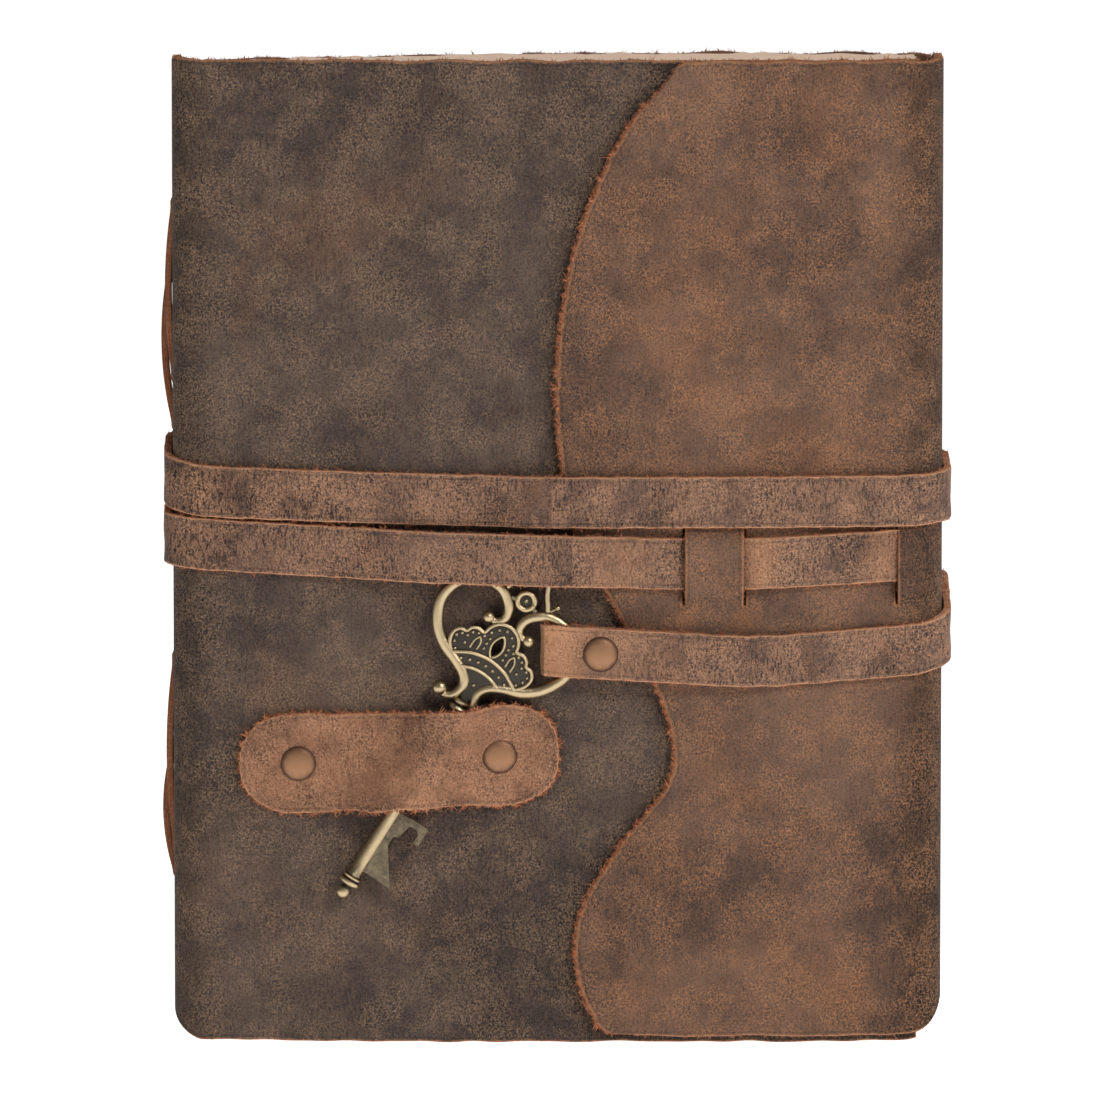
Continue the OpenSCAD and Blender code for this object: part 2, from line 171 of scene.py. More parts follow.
class JournalColours(bpy.types.PropertyGroup):
    """Colours of the leathers, paper and metals."""
    cover_low: colour("Cover shade", "Darker hide of the covers", 45, 38, 38)
    cover_high: colour("Cover light", "Lighter hide of the covers", 80, 68, 62)
    cover_speck: colour("Cover speck", "Light specks in the covers' nap", 168, 134, 104)
    flap_low: colour("Flap shade", "Darker hide of the flap", 64, 52, 47)
    flap_high: colour("Flap light", "Lighter hide of the flap", 108, 84, 70)
    flap_speck: colour("Flap speck", "Orange-tan specks in the flap's nap", 190, 132, 90)
    pull_up: colour("Pull-up", "Orange tan where waxed hide has been bent or rubbed", 150, 98, 62)
    strap_low: colour("Strap shade", "Darker leather of the strap", 50, 40, 41)
    strap_high: colour("Strap light", "Lighter leather of the strap", 102, 79, 68)
    bright_wear: colour("Strap wear", "Light tan of the strap's and keeper's worn grain",
                        216, 162, 124)
    keeper_low: colour("Keeper shade", "Darker leather of the keeper", 92, 63, 48)
    keeper_high: colour("Keeper light", "Lighter leather of the keeper", 148, 104, 77)
    raw_edge: colour("Cut edge", "Raw cut edge of the leather", 196, 142, 106)
    fuzz: colour("Loose fibre", "Fibres that stand out of the raw edges", 184, 108, 62)
    flesh: colour("Flesh side", "Suede inner side of the hide", 128, 92, 68)
    thong: colour("Thong", "Raw tan lacing thongs", 150, 92, 60)
    paper: colour("Paper", "Handmade paper", 240, 227, 210)
    paper_edge: colour("Paper edge", "Stained torn edge of the paper", 240, 206, 178)
    bronze: colour("Bronze", "Bright bronze on the key's high spots", 196, 175, 138)
    bronze_dark: colour("Bronze shade", "Darkened bronze in the key's hollows", 74, 69, 62)
    cap: colour("Rivet cap", "Antique copper of the rivet caps", 160, 120, 90)
    cap_dark: colour("Rivet rim", "Darkened rim of the rivet caps", 88, 64, 56)


def size(name):
    """One of the sizes, in millimetres."""
    return getattr(bpy.context.scene.journal_sizes, name) / MM


def tone(name):
    """One of the colours, as a linear tuple."""
    return tuple(getattr(bpy.context.scene.journal_colours, name))


# ---------------------------------------------------------------- lines, ripples and places

def ease(low, high, value):
    """0 before low, 1 after high and smooth between them."""
    t = np.clip((np.asarray(value, float) - low) / (high - low), 0.0, 1.0)
    return t * t * (3 - 2 * t)


def bell(low, high, soft, value):
    """1 between low and high, easing to 0 within soft outside them."""
    return ease(low - soft, low, value) * (1 - ease(high, high + soft, value))


def ripple(seed, period, *places):
    """A smooth seeded ripple, about -1 to 1, over any number of coordinates."""
    rng = np.random.RandomState(seed)
    waves = 10
    total = 0.0
    for _ in range(waves):
        way = rng.normal(size=len(places))
        way /= np.linalg.norm(way)
        pace = 2 * math.pi / period * rng.uniform(0.55, 1.7)
        total = total + np.sin(pace * sum(p * w for p, w in zip(places, way))
                               + rng.uniform(0, 2 * math.pi))
    return total / math.sqrt(waves)


def smooth_line(points, steps=8, closed=False):
    """A Catmull-Rom curve through the points."""
    p = np.array(points, float)
    if closed:
        p = np.concatenate([p[-1:], p, p[:2]])
    else:
        p = np.concatenate([2 * p[:1] - p[1:2], p, 2 * p[-1:] - p[-2:-1]])
    t = (np.arange(steps) / steps)[:, None]
    runs = []
    for a, b, c, d in zip(p, p[1:], p[2:], p[3:]):
        runs.append(0.5 * (2 * b + (c - a) * t + (2 * a - 5 * b + 4 * c - d) * t ** 2
                           + (3 * b - a - 3 * c + d) * t ** 3))
    line = np.concatenate(runs)
    return line if closed else np.concatenate([line, p[-2:-1]])


def quarter(cx, cy, radius, start, stop, z=(0.0, 0.0), steps=12):
    """Stops round a corner in plan, angles in degrees, with the height running from z0 to z1."""
    turn = np.linspace(0, 1, steps)
    angle = np.radians(start + (stop - start) * turn)
    return np.stack([cx + radius * np.cos(angle), cy + radius * np.sin(angle),
                     z[0] + (z[1] - z[0]) * turn], -1)


def painted(x, z, spots):
    """How dark or rubbed each place is, from soft spots given as (x, z, reach in x, reach in z,
    change): 0.5 is the plain hide, less is darker, as darker hide and as painted shade, and more
    is rubbed."""
    level = np.full(np.broadcast(x, z).shape, 0.5)
    for at_x, at_z, reach_x, reach_z, change in spots:
        level = level + change * np.exp(-((x - at_x) / reach_x) ** 2 - ((z - at_z) / reach_z) ** 2)
    return np.clip(level, 0.0, 1.0)


class Track:
    """A line in plan, walked with the outside of the leather on its right, and a height along it."""

    def __init__(self, stops, soften=0.0, step=0.25):
        stops = np.concatenate([np.atleast_2d(np.array(s, float)) for s in stops])
        self.measure(stops)
        count = int(self.u[-1] / step) + 1
        u = np.linspace(0, self.u[-1], count)
        line = np.stack([np.interp(u, self.u, stops[:, k]) for k in range(3)], -1)
        if soften:
            line = self.soften(line, soften / step)
        self.line = line
        self.measure(line)
        way = np.gradient(line[:, :2], axis=0)
        way /= np.linalg.norm(way, axis=1)[:, None]
        self.normal = np.stack([way[:, 1], -way[:, 0]], -1)

    def measure(self, line):
        steps = np.linalg.norm(np.diff(line[:, :2], axis=0), axis=1)
        self.u = np.concatenate([[0.0], np.cumsum(steps)])

    @staticmethod
    def soften(line, spread):
        reach = int(spread * 3)
        kernel = np.exp(-0.5 * (np.arange(-reach, reach + 1) / spread) ** 2)
        kernel /= kernel.sum()
        head = 2 * line[:1] - line[reach:0:-1]
        tail = 2 * line[-1:] - line[-2:-reach - 2:-1]
        padded = np.concatenate([head, line, tail])
        return np.stack([np.convolve(padded[:, k], kernel, "valid") for k in range(3)], -1)

    def at(self, u):
        """x, y, height and the outward direction at the distance u along the track."""
        parts = [np.interp(u, self.u, column) for column in (*self.line.T, *self.normal.T)]
        beyond = np.minimum(u, 0) + np.maximum(u - self.u[-1], 0)
        parts[0] = parts[0] - beyond * parts[4]
        parts[1] = parts[1] + beyond * parts[3]
        return parts

    def where(self, x, facing=-1):
        """The distance along the track at which it passes x on the side that faces -Y or +Y."""
        side = self.normal[:, 1] * facing > 0.5
        gap = np.where(side, np.abs(self.line[:, 0] - x), 1e9)
        return float(self.u[np.argmin(gap)])


def settled(points):
    """Journal millimetres to frame metres. The pages fill the middle of the journal most."""
    spine_from, fore_from, most = -20, 30, 1.05
    out = np.array(points, float).reshape(-1, 3)
    sizes = bpy.context.scene.journal_sizes
    spine_side = np.clip((spine_from - out[:, 0]) / (HALF_W + spine_from), 0, most) ** 2
    fore_side = np.clip((out[:, 0] - fore_from) / (HALF_W - fore_from), 0, most) ** 2
    out[:, 1] *= 1 - sizes.squeeze_spine * spine_side - sizes.squeeze_fore * fore_side
    return (out + SHIFT) * MM


def frame_point(x, y, z=100.0):
    return tuple(settled([(x, y, z)])[0])


# ---------------------------------------------------------------- meshes

class Form:
    """The points and faces of one piece, with what its materials read at each point: tex, the
    place on the flat leather; edge, the distance to the nearest cut; rise, 0 in a hollow and 1 on
    a high spot, which on leather under a half also carries painted shade and on the key's round
    bars painted shade on their sides."""

    def __init__(self):
        self.points, self.tex, self.edge, self.rise = [], [], [], []
        self.faces, self.kinds, self.count = [], [], 0

    def add(self, points, faces, kind=0, tex=None, edge=9.0, rise=0.5):
        points = np.asarray(points, float).reshape(-1, 3)
        many = len(points)
        self.points.append(points)
        self.tex.append(points if tex is None else np.asarray(tex, float).reshape(-1, 3))
        self.edge.append(np.broadcast_to(np.asarray(edge, float).ravel(), (many,)))
        self.rise.append(np.broadcast_to(np.asarray(rise, float).ravel(), (many,)))
        faces = np.asarray(faces, int).reshape(-1, 4)
        self.faces.append(faces + self.count)
        self.kinds.append(np.full(len(faces), kind))
        self.count += many

    def build(self, name, materials, sharp=42):
        """Welds the points, drops what is not used and makes the object."""
        points = np.concatenate(self.points)
        _, first, welded = np.unique(np.round(points, 4), axis=0, return_index=True,
                                     return_inverse=True)
        faces = welded.reshape(-1)[np.concatenate(self.faces)]
        rings, kinds = [], []
        for face, kind in zip(faces.tolist(), np.concatenate(self.kinds).tolist()):
            ring = [v for i, v in enumerate(face) if v != face[i - 1]]
            if len(ring) > 2 and len(set(ring)) == len(ring):
                rings.append(ring)
                kinds.append(kind)
        used = np.unique(np.concatenate([np.array(r) for r in rings]))
        fresh = np.full(len(first), -1)
        fresh[used] = np.arange(len(used))
        rings = [[int(fresh[v]) for v in ring] for ring in rings]
        chosen = first[used]
        mesh = bpy.data.meshes.new(name)
        mesh.from_pydata(settled(points[chosen]).tolist(), [], rings)
        mesh.polygons.foreach_set("material_index", kinds)
        mesh.polygons.foreach_set("use_smooth", [True] * len(rings))
        for material in materials:
            mesh.materials.append(material)
        place = mesh.attributes.new("tex", "FLOAT_VECTOR", "POINT")
        place.data.foreach_set("vector", np.concatenate(self.tex)[chosen].astype("f").ravel())
        for label, values in (("edge", self.edge), ("rise", self.rise)):
            column = mesh.attributes.new(label, "FLOAT", "POINT")
            column.data.foreach_set("value", np.concatenate(values)[chosen].astype("f"))
        mesh.validate()
        mesh.set_sharp_from_angle(angle=math.radians(sharp))
        mesh.update()
        obj = bpy.data.objects.new(name, mesh)
        bpy.context.scene.collection.objects.link(obj)
        return obj


def stations(low, high, step, near_low=True, near_high=True, extra=()):
    """Stops from low to high about a step apart, closer beside cut edges and at extra stops."""
    near = np.array([0.0, 0.1, 0.25, 0.5, 0.9, 1.5, 2.4])
    stay = [np.array([low, high]), np.array(extra, float)]
    if near_low:
        stay.append(low + near)
    if near_high:
        stay.append(high - near)
    stay = np.round(np.concatenate(stay), 4)
    even = np.round(np.linspace(low, high, max(int((high - low) / step), 2) + 1), 4)
    fixed = set(stay)
    marks = np.unique(np.concatenate([even, stay]))
    kept = [marks[0]]
    for mark in marks[1:]:
        if mark in fixed:
            if mark - kept[-1] < 0.05 and kept[-1] not in fixed:
                kept.pop()
            kept.append(mark)
        elif mark - kept[-1] > step * 0.45:
            kept.append(mark)
    return np.array(kept)


def rounded(edge, radius):
    """How far a rounded-over cut edge has dropped at a distance from the cut."""
    inside = np.clip(radius - edge, 0, radius)
    return radius - np.sqrt(np.maximum(radius ** 2 - inside ** 2, 0))


# the order of the materials on a sheet of leather
OUTER, INNER, CUT, FIBRE = range(4)


def sheet(form, place, u, z, edge, thick, keep=None, radius=0.45, layers=3, rise=0.5,
          origin=(0, 0)):
    """A closed sheet of leather or paper. u and z are grids of flat places, place(u, z, depth)
    puts them in the journal, edge is each place's distance to a cut, and keep says which cells
    are there."""
    rows, cols = u.shape
    flat = np.round(np.stack([u.ravel(), z.ravel()], -1), 4)
    flat, first, back = np.unique(flat, axis=0, return_index=True, return_inverse=True)
    index = back.reshape(rows, cols)
    edge = np.broadcast_to(edge, u.shape).ravel()[first]
    rise = np.broadcast_to(rise, u.shape).ravel()[first]
    cells = np.stack([index[:-1, :-1], index[:-1, 1:], index[1:, 1:], index[1:, :-1]], -1)
    cells = cells.reshape(-1, 4) if keep is None else cells[keep]
    drop = rounded(edge, min(radius, thick * 0.45))
    low = thick - 0.6 * drop
    tex = np.stack([flat[:, 0] + origin[0], flat[:, 1] + origin[1], np.zeros(len(flat))], -1)
    form.add(place(flat[:, 0], flat[:, 1], drop), cells, OUTER, tex, edge, rise)
    form.add(place(flat[:, 0], flat[:, 1], low), cells[:, ::-1], INNER, tex, edge, rise)
    ends = np.concatenate([cells, cells[:, :1]], 1)
    walk = np.stack([ends[:, :-1].ravel(), ends[:, 1:].ravel()], -1)
    walk = walk[walk[:, 0] != walk[:, 1]]
    key = walk[:, 0] * len(flat) + walk[:, 1]
    rim = walk[~np.isin(key, walk[:, 1] * len(flat) + walk[:, 0])]
    around, local = np.unique(rim, return_inverse=True)
    local = local.reshape(rim.shape)
    many = len(around)
    depths = [drop[around] + (low - drop)[around] * k / layers for k in range(layers + 1)]
    spots = [place(flat[around, 0], flat[around, 1], depth) for depth in depths]
    texes = [np.stack([tex[around, 0], tex[around, 1], depth], -1) for depth in depths]
    quads = np.concatenate([
        np.stack([local[:, 1] + k * many, local[:, 0] + k * many,
                  local[:, 0] + (k + 1) * many, local[:, 1] + (k + 1) * many], -1)
        for k in range(layers)])
    form.add(np.concatenate(spots), quads, CUT, np.concatenate(texes), 0.0,
             np.tile(rise[around], layers + 1))


def fringe(form, place, line, outward, thick, density, mean, seed, stout=1.0, origin=(0, 0)):
    """Loose fibres along a cut edge: slim curved closed spikes. line and outward are arrays of
    flat places and of the directions that leave the leather there."""
    rng = np.random.RandomState(seed)
    steps = np.linalg.norm(np.diff(line, axis=0), axis=1)
    run = np.concatenate([[0.0], np.cumsum(steps)])
    count = int(run[-1] * density)
    spot = np.sort(rng.uniform(0, run[-1], count))
    base = np.stack([np.interp(spot, run, line[:, k]) for k in (0, 1)], -1)
    out = np.stack([np.interp(spot, run, outward[:, k]) for k in (0, 1)], -1)
    out /= np.linalg.norm(out, axis=1)[:, None]
    side = np.stack([-out[:, 1], out[:, 0]], -1)
    clump = 0.65 + 0.5 * ripple(seed + 1, 3.5, spot)
    long = mean * np.clip(clump, 0.15, 1.6) * rng.gamma(3.0, 0.33, count)
    long = np.minimum(long, mean * 3.2)
    lean = rng.normal(0, 0.75, count)
    depth = rng.uniform(0.12, 0.92, count) * thick
    dive = rng.normal(0, 0.35, count)
    curl = rng.normal(0, 0.5, count)
    wide = rng.uniform(0.06, 0.14, count) * stout
    points, tex = [], []
    for k, (share, slim) in enumerate(((-0.35, 1.0), (0.5, 0.75), (1.0, 0.0))):
        reach = long * share
        flat = base + out * reach[:, None] + side * ((lean * reach + curl * reach ** 2 / 1.5)[:, None])
        deep = depth + dive * np.maximum(reach, 0)
        for corner in range(1 if slim == 0 else 3):
            angle = 2 * math.pi * corner / 3 + spot
            shift = side * (np.cos(angle) * wide * slim)[:, None]
            points.append(place(flat[:, 0] + shift[:, 0], flat[:, 1] + shift[:, 1],
                                deep + np.sin(angle) * wide * slim))
            tex.append(np.stack([flat[:, 0] + origin[0], flat[:, 1] + origin[1], spot], -1))
    ids = np.arange(count)
    at = [ids + k * count for k in range(7)]
    faces = [np.stack([at[2], at[1], at[0], at[0]], -1)]
    for a, b in ((0, 1), (1, 2), (2, 0)):
        faces.append(np.stack([at[a], at[b], at[b + 3], at[a + 3]], -1))
        faces.append(np.stack([at[a + 3], at[b + 3], at[6], at[6]], -1))
    form.add(np.concatenate(points), np.concatenate(faces), FIBRE, np.concatenate(tex), 0.0,
             0.8)


def tube(form, spine, radii, place, sides=12, rise=0.8):
    """A round bar along points, closed to a rounded end at both sides. place maps it."""
    spine = np.array(spine, float)
    radii = np.broadcast_to(np.array(radii, float), (len(spine),))
    way = np.gradient(spine, axis=0)
    way /= np.linalg.norm(way, axis=1)[:, None]
    head = [(spine[0] - way[0] * radii[0] * math.sin(a), radii[0] * math.cos(a), 0)
            for a in np.radians((90, 60, 30))]
    tail = [(spine[-1] + way[-1] * radii[-1] * math.sin(a), radii[-1] * math.cos(a), len(spine) - 1)
            for a in np.radians((30, 60, 90))]
    rings = head + [(spine[i], radii[i], i) for i in range(len(spine))] + tail
    cross = np.cross(way[0], (0.0, 1.0, 0.0))
    if np.linalg.norm(cross) < 0.1:
        cross = np.cross(way[0], (1.0, 0.0, 0.0))
    points, high = [], []
    angle = np.linspace(0, 2 * math.pi, sides, endpoint=False)
    for centre, radius, i in rings:
        cross = cross - way[i] * np.dot(cross, way[i])
        cross /= np.linalg.norm(cross)
        other = np.cross(way[i], cross)
        ring = centre + radius * (np.cos(angle)[:, None] * cross + np.sin(angle)[:, None] * other)
        points.append(ring)
        # rise grows on the side facing out of the cover: partly the rubbed proud top of the bar, partly a
        # painted highlight along that top and painted shade down its sides
        high.append(rise * (0.55 + 0.45 * np.clip((ring - centre)[:, 1] / max(radius, 1e-6), -1, 1)))
    lay_rings(form, points, place, np.concatenate(high))


def lay_rings(form, points, place, rise):
    """Faces between rings of points that close up on themselves."""
    many, sides = len(points), len(points[0])
    index = np.arange(many * sides).reshape(many, sides)
    turned = np.roll(index, -1, axis=1)
    cells = np.stack([index[:-1], turned[:-1], turned[1:], index[1:]], -1).reshape(-1, 4)
    spots = np.concatenate(points)
    form.add(place(spots), cells, OUTER, spots, 9.0, rise)


def lathe(form, profile, place, sides=24, rise=None):
    """A turned shape. profile is a list of (radius, height) from the bottom middle to the top."""
    angle = np.linspace(0, 2 * math.pi, sides, endpoint=False)
    points, high = [], []
    for radius, height in profile:
        points.append(np.stack([radius * np.cos(angle), np.full(sides, height),
                                radius * np.sin(angle)], -1))
    top = max(h for _, h in profile)
    for k, (radius, height) in enumerate(profile):
        level = height / top if rise is None else rise[k]
        high.append(np.full(sides, level))
    lay_rings(form, points[::-1], place, np.concatenate(high[::-1]))


def ball(form, centre, radius, place, rise=0.9, sides=14):
    """A round bead, closed to its two poles."""
    angles = np.radians(np.linspace(-90, 90, sides // 2 + 1))
    profile = [(radius * math.cos(a), radius * math.sin(a)) for a in angles]
    low = np.array(centre, float)
    # levels grow towards the pole facing out of the cover: partly rubbed wear, partly a painted highlight on
    # the bead's top and painted shade round its sides
    levels = [rise * (0.6 + 0.4 * math.sin(a)) for a in angles]
    lathe(form, profile, lambda p: place(p + low), sides, levels)


def plate(form, rings, thick, round_over, place, rise=0.2):
    """A flat plate with bevelled edges, filled between closed outlines of (across, along)."""
    curve = bpy.data.curves.new("outline", "CURVE")
    curve.dimensions = "2D"
    curve.fill_mode = "BOTH"
    curve.extrude = thick / 2 - round_over
    curve.bevel_depth = round_over
    curve.bevel_resolution = 2
    curve.offset = -round_over
    for ring in rings:
        spline = curve.splines.new("POLY")
        spline.points.add(len(ring) - 1)
        for spot, (across, along) in zip(spline.points, ring):
            spot.co = (across, along, 0, 1)
        spline.use_cyclic_u = True
    holder = bpy.data.objects.new("outline", curve)
    bpy.context.scene.collection.objects.link(holder)
    mesh = bpy.data.meshes.new_from_object(
        holder.evaluated_get(bpy.context.evaluated_depsgraph_get()))
    spots = np.array([v.co for v in mesh.vertices], float)
    faces = [list(p.vertices) + [p.vertices[-1]] * (4 - len(p.vertices)) for p in mesh.polygons]
    spots = spots[:, (0, 2, 1)]
    level = rise + 0.35 * (np.abs(spots[:, 1]) < thick / 2 - round_over * 0.5)
    form.add(place(spots), faces, OUTER, spots, 9.0, level)
    bpy.data.objects.remove(holder)
    bpy.data.curves.remove(curve)
    bpy.data.meshes.remove(mesh)


# ---------------------------------------------------------------- node groups for the finishes

class Wiring:
    """Short calls that add and join shader nodes in one tree."""

    def __init__(self, tree):
        self.tree = tree

    def node(self, kind, inputs=(), **settings):
        made = self.tree.nodes.new(kind)
        for key, value in settings.items():
            setattr(made, key, value)
        for key, value in dict(inputs).items():
            self.join(value, made.inputs[key])
        return made

    def join(self, value, socket):
        if isinstance(value, bpy.types.NodeSocket):
            self.tree.links.new(value, socket)
        else:
            socket.default_value = value

    def math(self, operation, a, b=0.0, clamp=False):
        made = self.node("ShaderNodeMath", {0: a, 1: b}, operation=operation, use_clamp=clamp)
        return made.outputs[0]

    def scaled(self, vector, factor):
        made = self.node("ShaderNodeVectorMath", {0: vector}, operation="SCALE")
        self.join(factor, made.inputs["Scale"])
        return made.outputs[0]

    def stretched(self, vector, factors):
        made = self.node("ShaderNodeVectorMath", {0: vector, 1: factors}, operation="MULTIPLY")
        return made.outputs[0]

    def noise(self, vector, scale=1.0, detail=3.0, roughness=0.55, offset=0.0):
        made = self.node("ShaderNodeTexNoise", {"Vector": vector, "Scale": scale,
                                                "Detail": detail, "Roughness": roughness,
                                                "W": offset}, noise_dimensions="4D")
        return made.outputs["Fac"]

    def band(self, value, low, high, out_low=0.0, out_high=1.0):
        made = self.node("ShaderNodeMapRange", {0: value, 1: low, 2: high, 3: out_low, 4: out_high},
                         interpolation_type="SMOOTHSTEP")
        return made.outputs[0]

    def mix(self, share, a, b, blend="MIX"):
        made = self.node("ShaderNodeMix", data_type="RGBA", blend_type=blend)
        for value, socket in ((share, made.inputs[0]), (a, made.inputs[6]), (b, made.inputs[7])):
            self.join(value, socket)
        return made.outputs[2]

    def attribute(self, name, output="Fac"):
        return self.node("ShaderNodeAttribute", attribute_name=name).outputs[output]


def group(name, inputs, outputs, fill):
    """A shader node group, built once. fill(wiring, inputs) returns its outputs' sockets."""
    tree = bpy.data.node_groups.get(name)
    if tree:
        return tree
    tree = bpy.data.node_groups.new(name, "ShaderNodeTree")
    for label, (kind, value) in inputs.items():
        socket = tree.interface.new_socket(label, in_out="INPUT", socket_type="NodeSocket" + kind)
        socket.default_value = value
    for label, kind in outputs.items():
        tree.interface.new_socket(label, in_out="OUTPUT", socket_type="NodeSocket" + kind)
    start = tree.nodes.new("NodeGroupInput")
    end = tree.nodes.new("NodeGroupOutput")
    found = fill(Wiring(tree), {label: start.outputs[label] for label in inputs})
    for label, socket in found.items():
        tree.links.new(socket, end.inputs[label])
    return tree


GREY = (0.2, 0.2, 0.2, 1.0)
NOWHERE = (0.0, 0.0, 0.0)


def hide_clouds():
    """Large soft patches of lighter and darker waxed hide, with warm pull-up where it was bent."""
    def fill(w, given):
        place = w.scaled(given["Place"], w.math("DIVIDE", 1.0, given["Patch"]))
        wide = w.noise(place, 1.0, 3.0, 0.55, given["Seed"])
        small = w.noise(place, 4.5, 4.0, 0.62, given["Seed"])
        fine = w.noise(place, 22.0, 3.0, 0.6, given["Seed"])
        blend = w.math("ADD", w.math("MULTIPLY", wide, 0.55), w.math("MULTIPLY", small, 0.30))
        blend = w.math("ADD", blend, w.math("MULTIPLY", fine, 0.15))
        shade = w.band(blend, 0.40, 0.62)
        base = w.mix(shade, given["Low"], given["High"])
        far = w.noise(place, 1.6, 5.0, 0.66, w.math("ADD", given["Seed"], 7.3))
        warm = w.math("MULTIPLY", w.band(far, 0.52, 0.74), given["Warmth"])
        return {"Colour": w.mix(warm, base, given["Warm"])}
    return group("Hide Clouds",
                 {"Place": ("Vector", NOWHERE), "Patch": ("Float", 50.0), "Seed": ("Float", 0.0),
                  "Low": ("Color", GREY), "High": ("Color", GREY), "Warm": ("Color", GREY),
                  "Warmth": ("Float", 0.5)},
                 {"Colour": "Color"}, fill)


def nap_speckle():
    """Fine specks and worm-like lines of light fibre over a darker nap, gathered in patches."""
    def fill(w, given):
        place = w.scaled(given["Place"], w.math("DIVIDE", 1.0, given["Size"]))
        speck = w.noise(place, 1.0, 2.0, 0.6)
        worm = w.noise(place, 0.55, 2.0, 0.6, 3.1)
        line = w.band(w.math("ABSOLUTE", w.math("SUBTRACT", worm, 0.5)), 0.075, 0.0)
        gather = w.noise(given["Place"], 0.13, 4.0, 0.65, 5.0)
        many = w.math("MULTIPLY", w.band(gather, 0.4, 0.6, 0.22, 1.0), given["Amount"])
        light = w.math("ADD", w.math("MULTIPLY", w.band(speck, 0.53, 0.7), 0.9),
                       w.math("MULTIPLY", line, 0.55), True)
        dark = w.math("MULTIPLY", w.band(speck, 0.46, 0.32), given["Amount"])
        toned = w.mix(w.math("MULTIPLY", light, many), given["Base"], given["Light"])
        toned = w.mix(dark, toned, given["Dark"])
        return {"Colour": toned, "Height": w.math("ADD", speck, w.math("MULTIPLY", line, 0.3))}
    return group("Nap Speckle",
                 {"Place": ("Vector", NOWHERE), "Size": ("Float", 0.5), "Amount": ("Float", 0.5),
                  "Base": ("Color", GREY), "Light": ("Color", GREY), "Dark": ("Color", GREY)},
                 {"Colour": "Color", "Height": "Float"}, fill)


def rubbed():
    """Darkens the hide where rise is under a half, as darker wax and as painted shade, and rubs it
    warm and light where it is over.
    """
    def fill(w, given):
        cloud = w.noise(given["Place"], 0.16, 4.0, 0.65, 8.0)
        level = w.math("ADD", given["Rise"], w.math("MULTIPLY", w.math("SUBTRACT", cloud, 0.5),
                                                    given["Wander"]))
        # down: darker wax, and painted shade where the spot tables put it
        down = w.band(level, 0.5, 0.0)
        up = w.band(level, 0.5, 1.0)
        toned = w.mix(down, given["Base"], given["Dark"])
        return {"Colour": w.mix(up, toned, given["Worn"])}
    return group("Rubbed",
                 {"Place": ("Vector", NOWHERE), "Rise": ("Float", 0.5), "Wander": ("Float", 0.25),
                  "Base": ("Color", GREY), "Worn": ("Color", GREY), "Dark": ("Color", GREY)},
                 {"Colour": "Color"}, fill)


def pull_streaks():
    """Fine streaks drawn out one way, as stretched grain or scratches."""
    def fill(w, given):
        place = w.stretched(given["Place"], given["Pace"])
        streak = w.noise(place, 1.0, 3.0, 0.6, 1.7)
        line = w.band(w.math("ABSOLUTE", w.math("SUBTRACT", streak, 0.52)), 0.07, 0.0)
        gather = w.noise(given["Place"], 0.1, 3.0, 0.6, 2.9)
        mask = w.math("MULTIPLY", w.math("MAXIMUM", line, w.band(streak, 0.54, 0.68)),
                      w.band(gather, 0.35, 0.62, 0.25, 1.0))
        return {"Mask": mask, "Height": w.math("ADD", streak, w.math("MULTIPLY", line, 0.25))}
    return group("Pull Streaks",
                 {"Place": ("Vector", NOWHERE), "Pace": ("Vector", (2.2, 0.5, 1.0))},
                 {"Mask": "Float", "Height": "Float"}, fill)


def edge_wear():
    """Worn light leather beside a cut, with the thin dark line that the blade pressed in."""
    def fill(w, given):
        rough = w.noise(given["Place"], 1.3, 3.0, 0.65, 4.2)
        away = w.math("ADD", given["Edge"], w.math("MULTIPLY", w.math("SUBTRACT", rough, 0.5), 1.1))
        worn = w.math("SUBTRACT", 1.0, w.band(away, 0.05, given["Width"]))
        line = w.math("ABSOLUTE", w.math("SUBTRACT", given["Edge"], given["Line"]))
        press = w.math("MULTIPLY", w.band(line, 0.28, 0.04), given["Press"])
        toned = w.mix(w.math("MULTIPLY", worn, given["Amount"]), given["Base"], given["Worn"])
        return {"Colour": w.mix(press, toned, given["Dark"])}
    return group("Edge Wear",
                 {"Place": ("Vector", NOWHERE), "Edge": ("Float", 9.0), "Width": ("Float", 0.9),
                  "Line": ("Float", 1.1), "Press": ("Float", 0.5), "Amount": ("Float", 0.6),
                  "Base": ("Color", GREY), "Worn": ("Color", GREY), "Dark": ("Color", GREY)},
                 {"Colour": "Color"}, fill)


def pebble_grain():
    """Height of a soft pebbled grain with pores."""
    def fill(w, given):
        place = w.scaled(given["Place"], w.math("DIVIDE", 1.0, given["Size"]))
        cell = w.node("ShaderNodeTexVoronoi", {"Vector": place, "Scale": 1.0, "Randomness": 1.0},
                      feature="SMOOTH_F1").outputs["Distance"]
        fine = w.noise(place, 2.6, 3.0, 0.6)
        height = w.math("ADD", w.math("MULTIPLY", cell, -0.7), fine)
        return {"Height": height}
    return group("Pebble Grain", {"Place": ("Vector", NOWHERE), "Size": ("Float", 1.0)},
                 {"Height": "Float"}, fill)


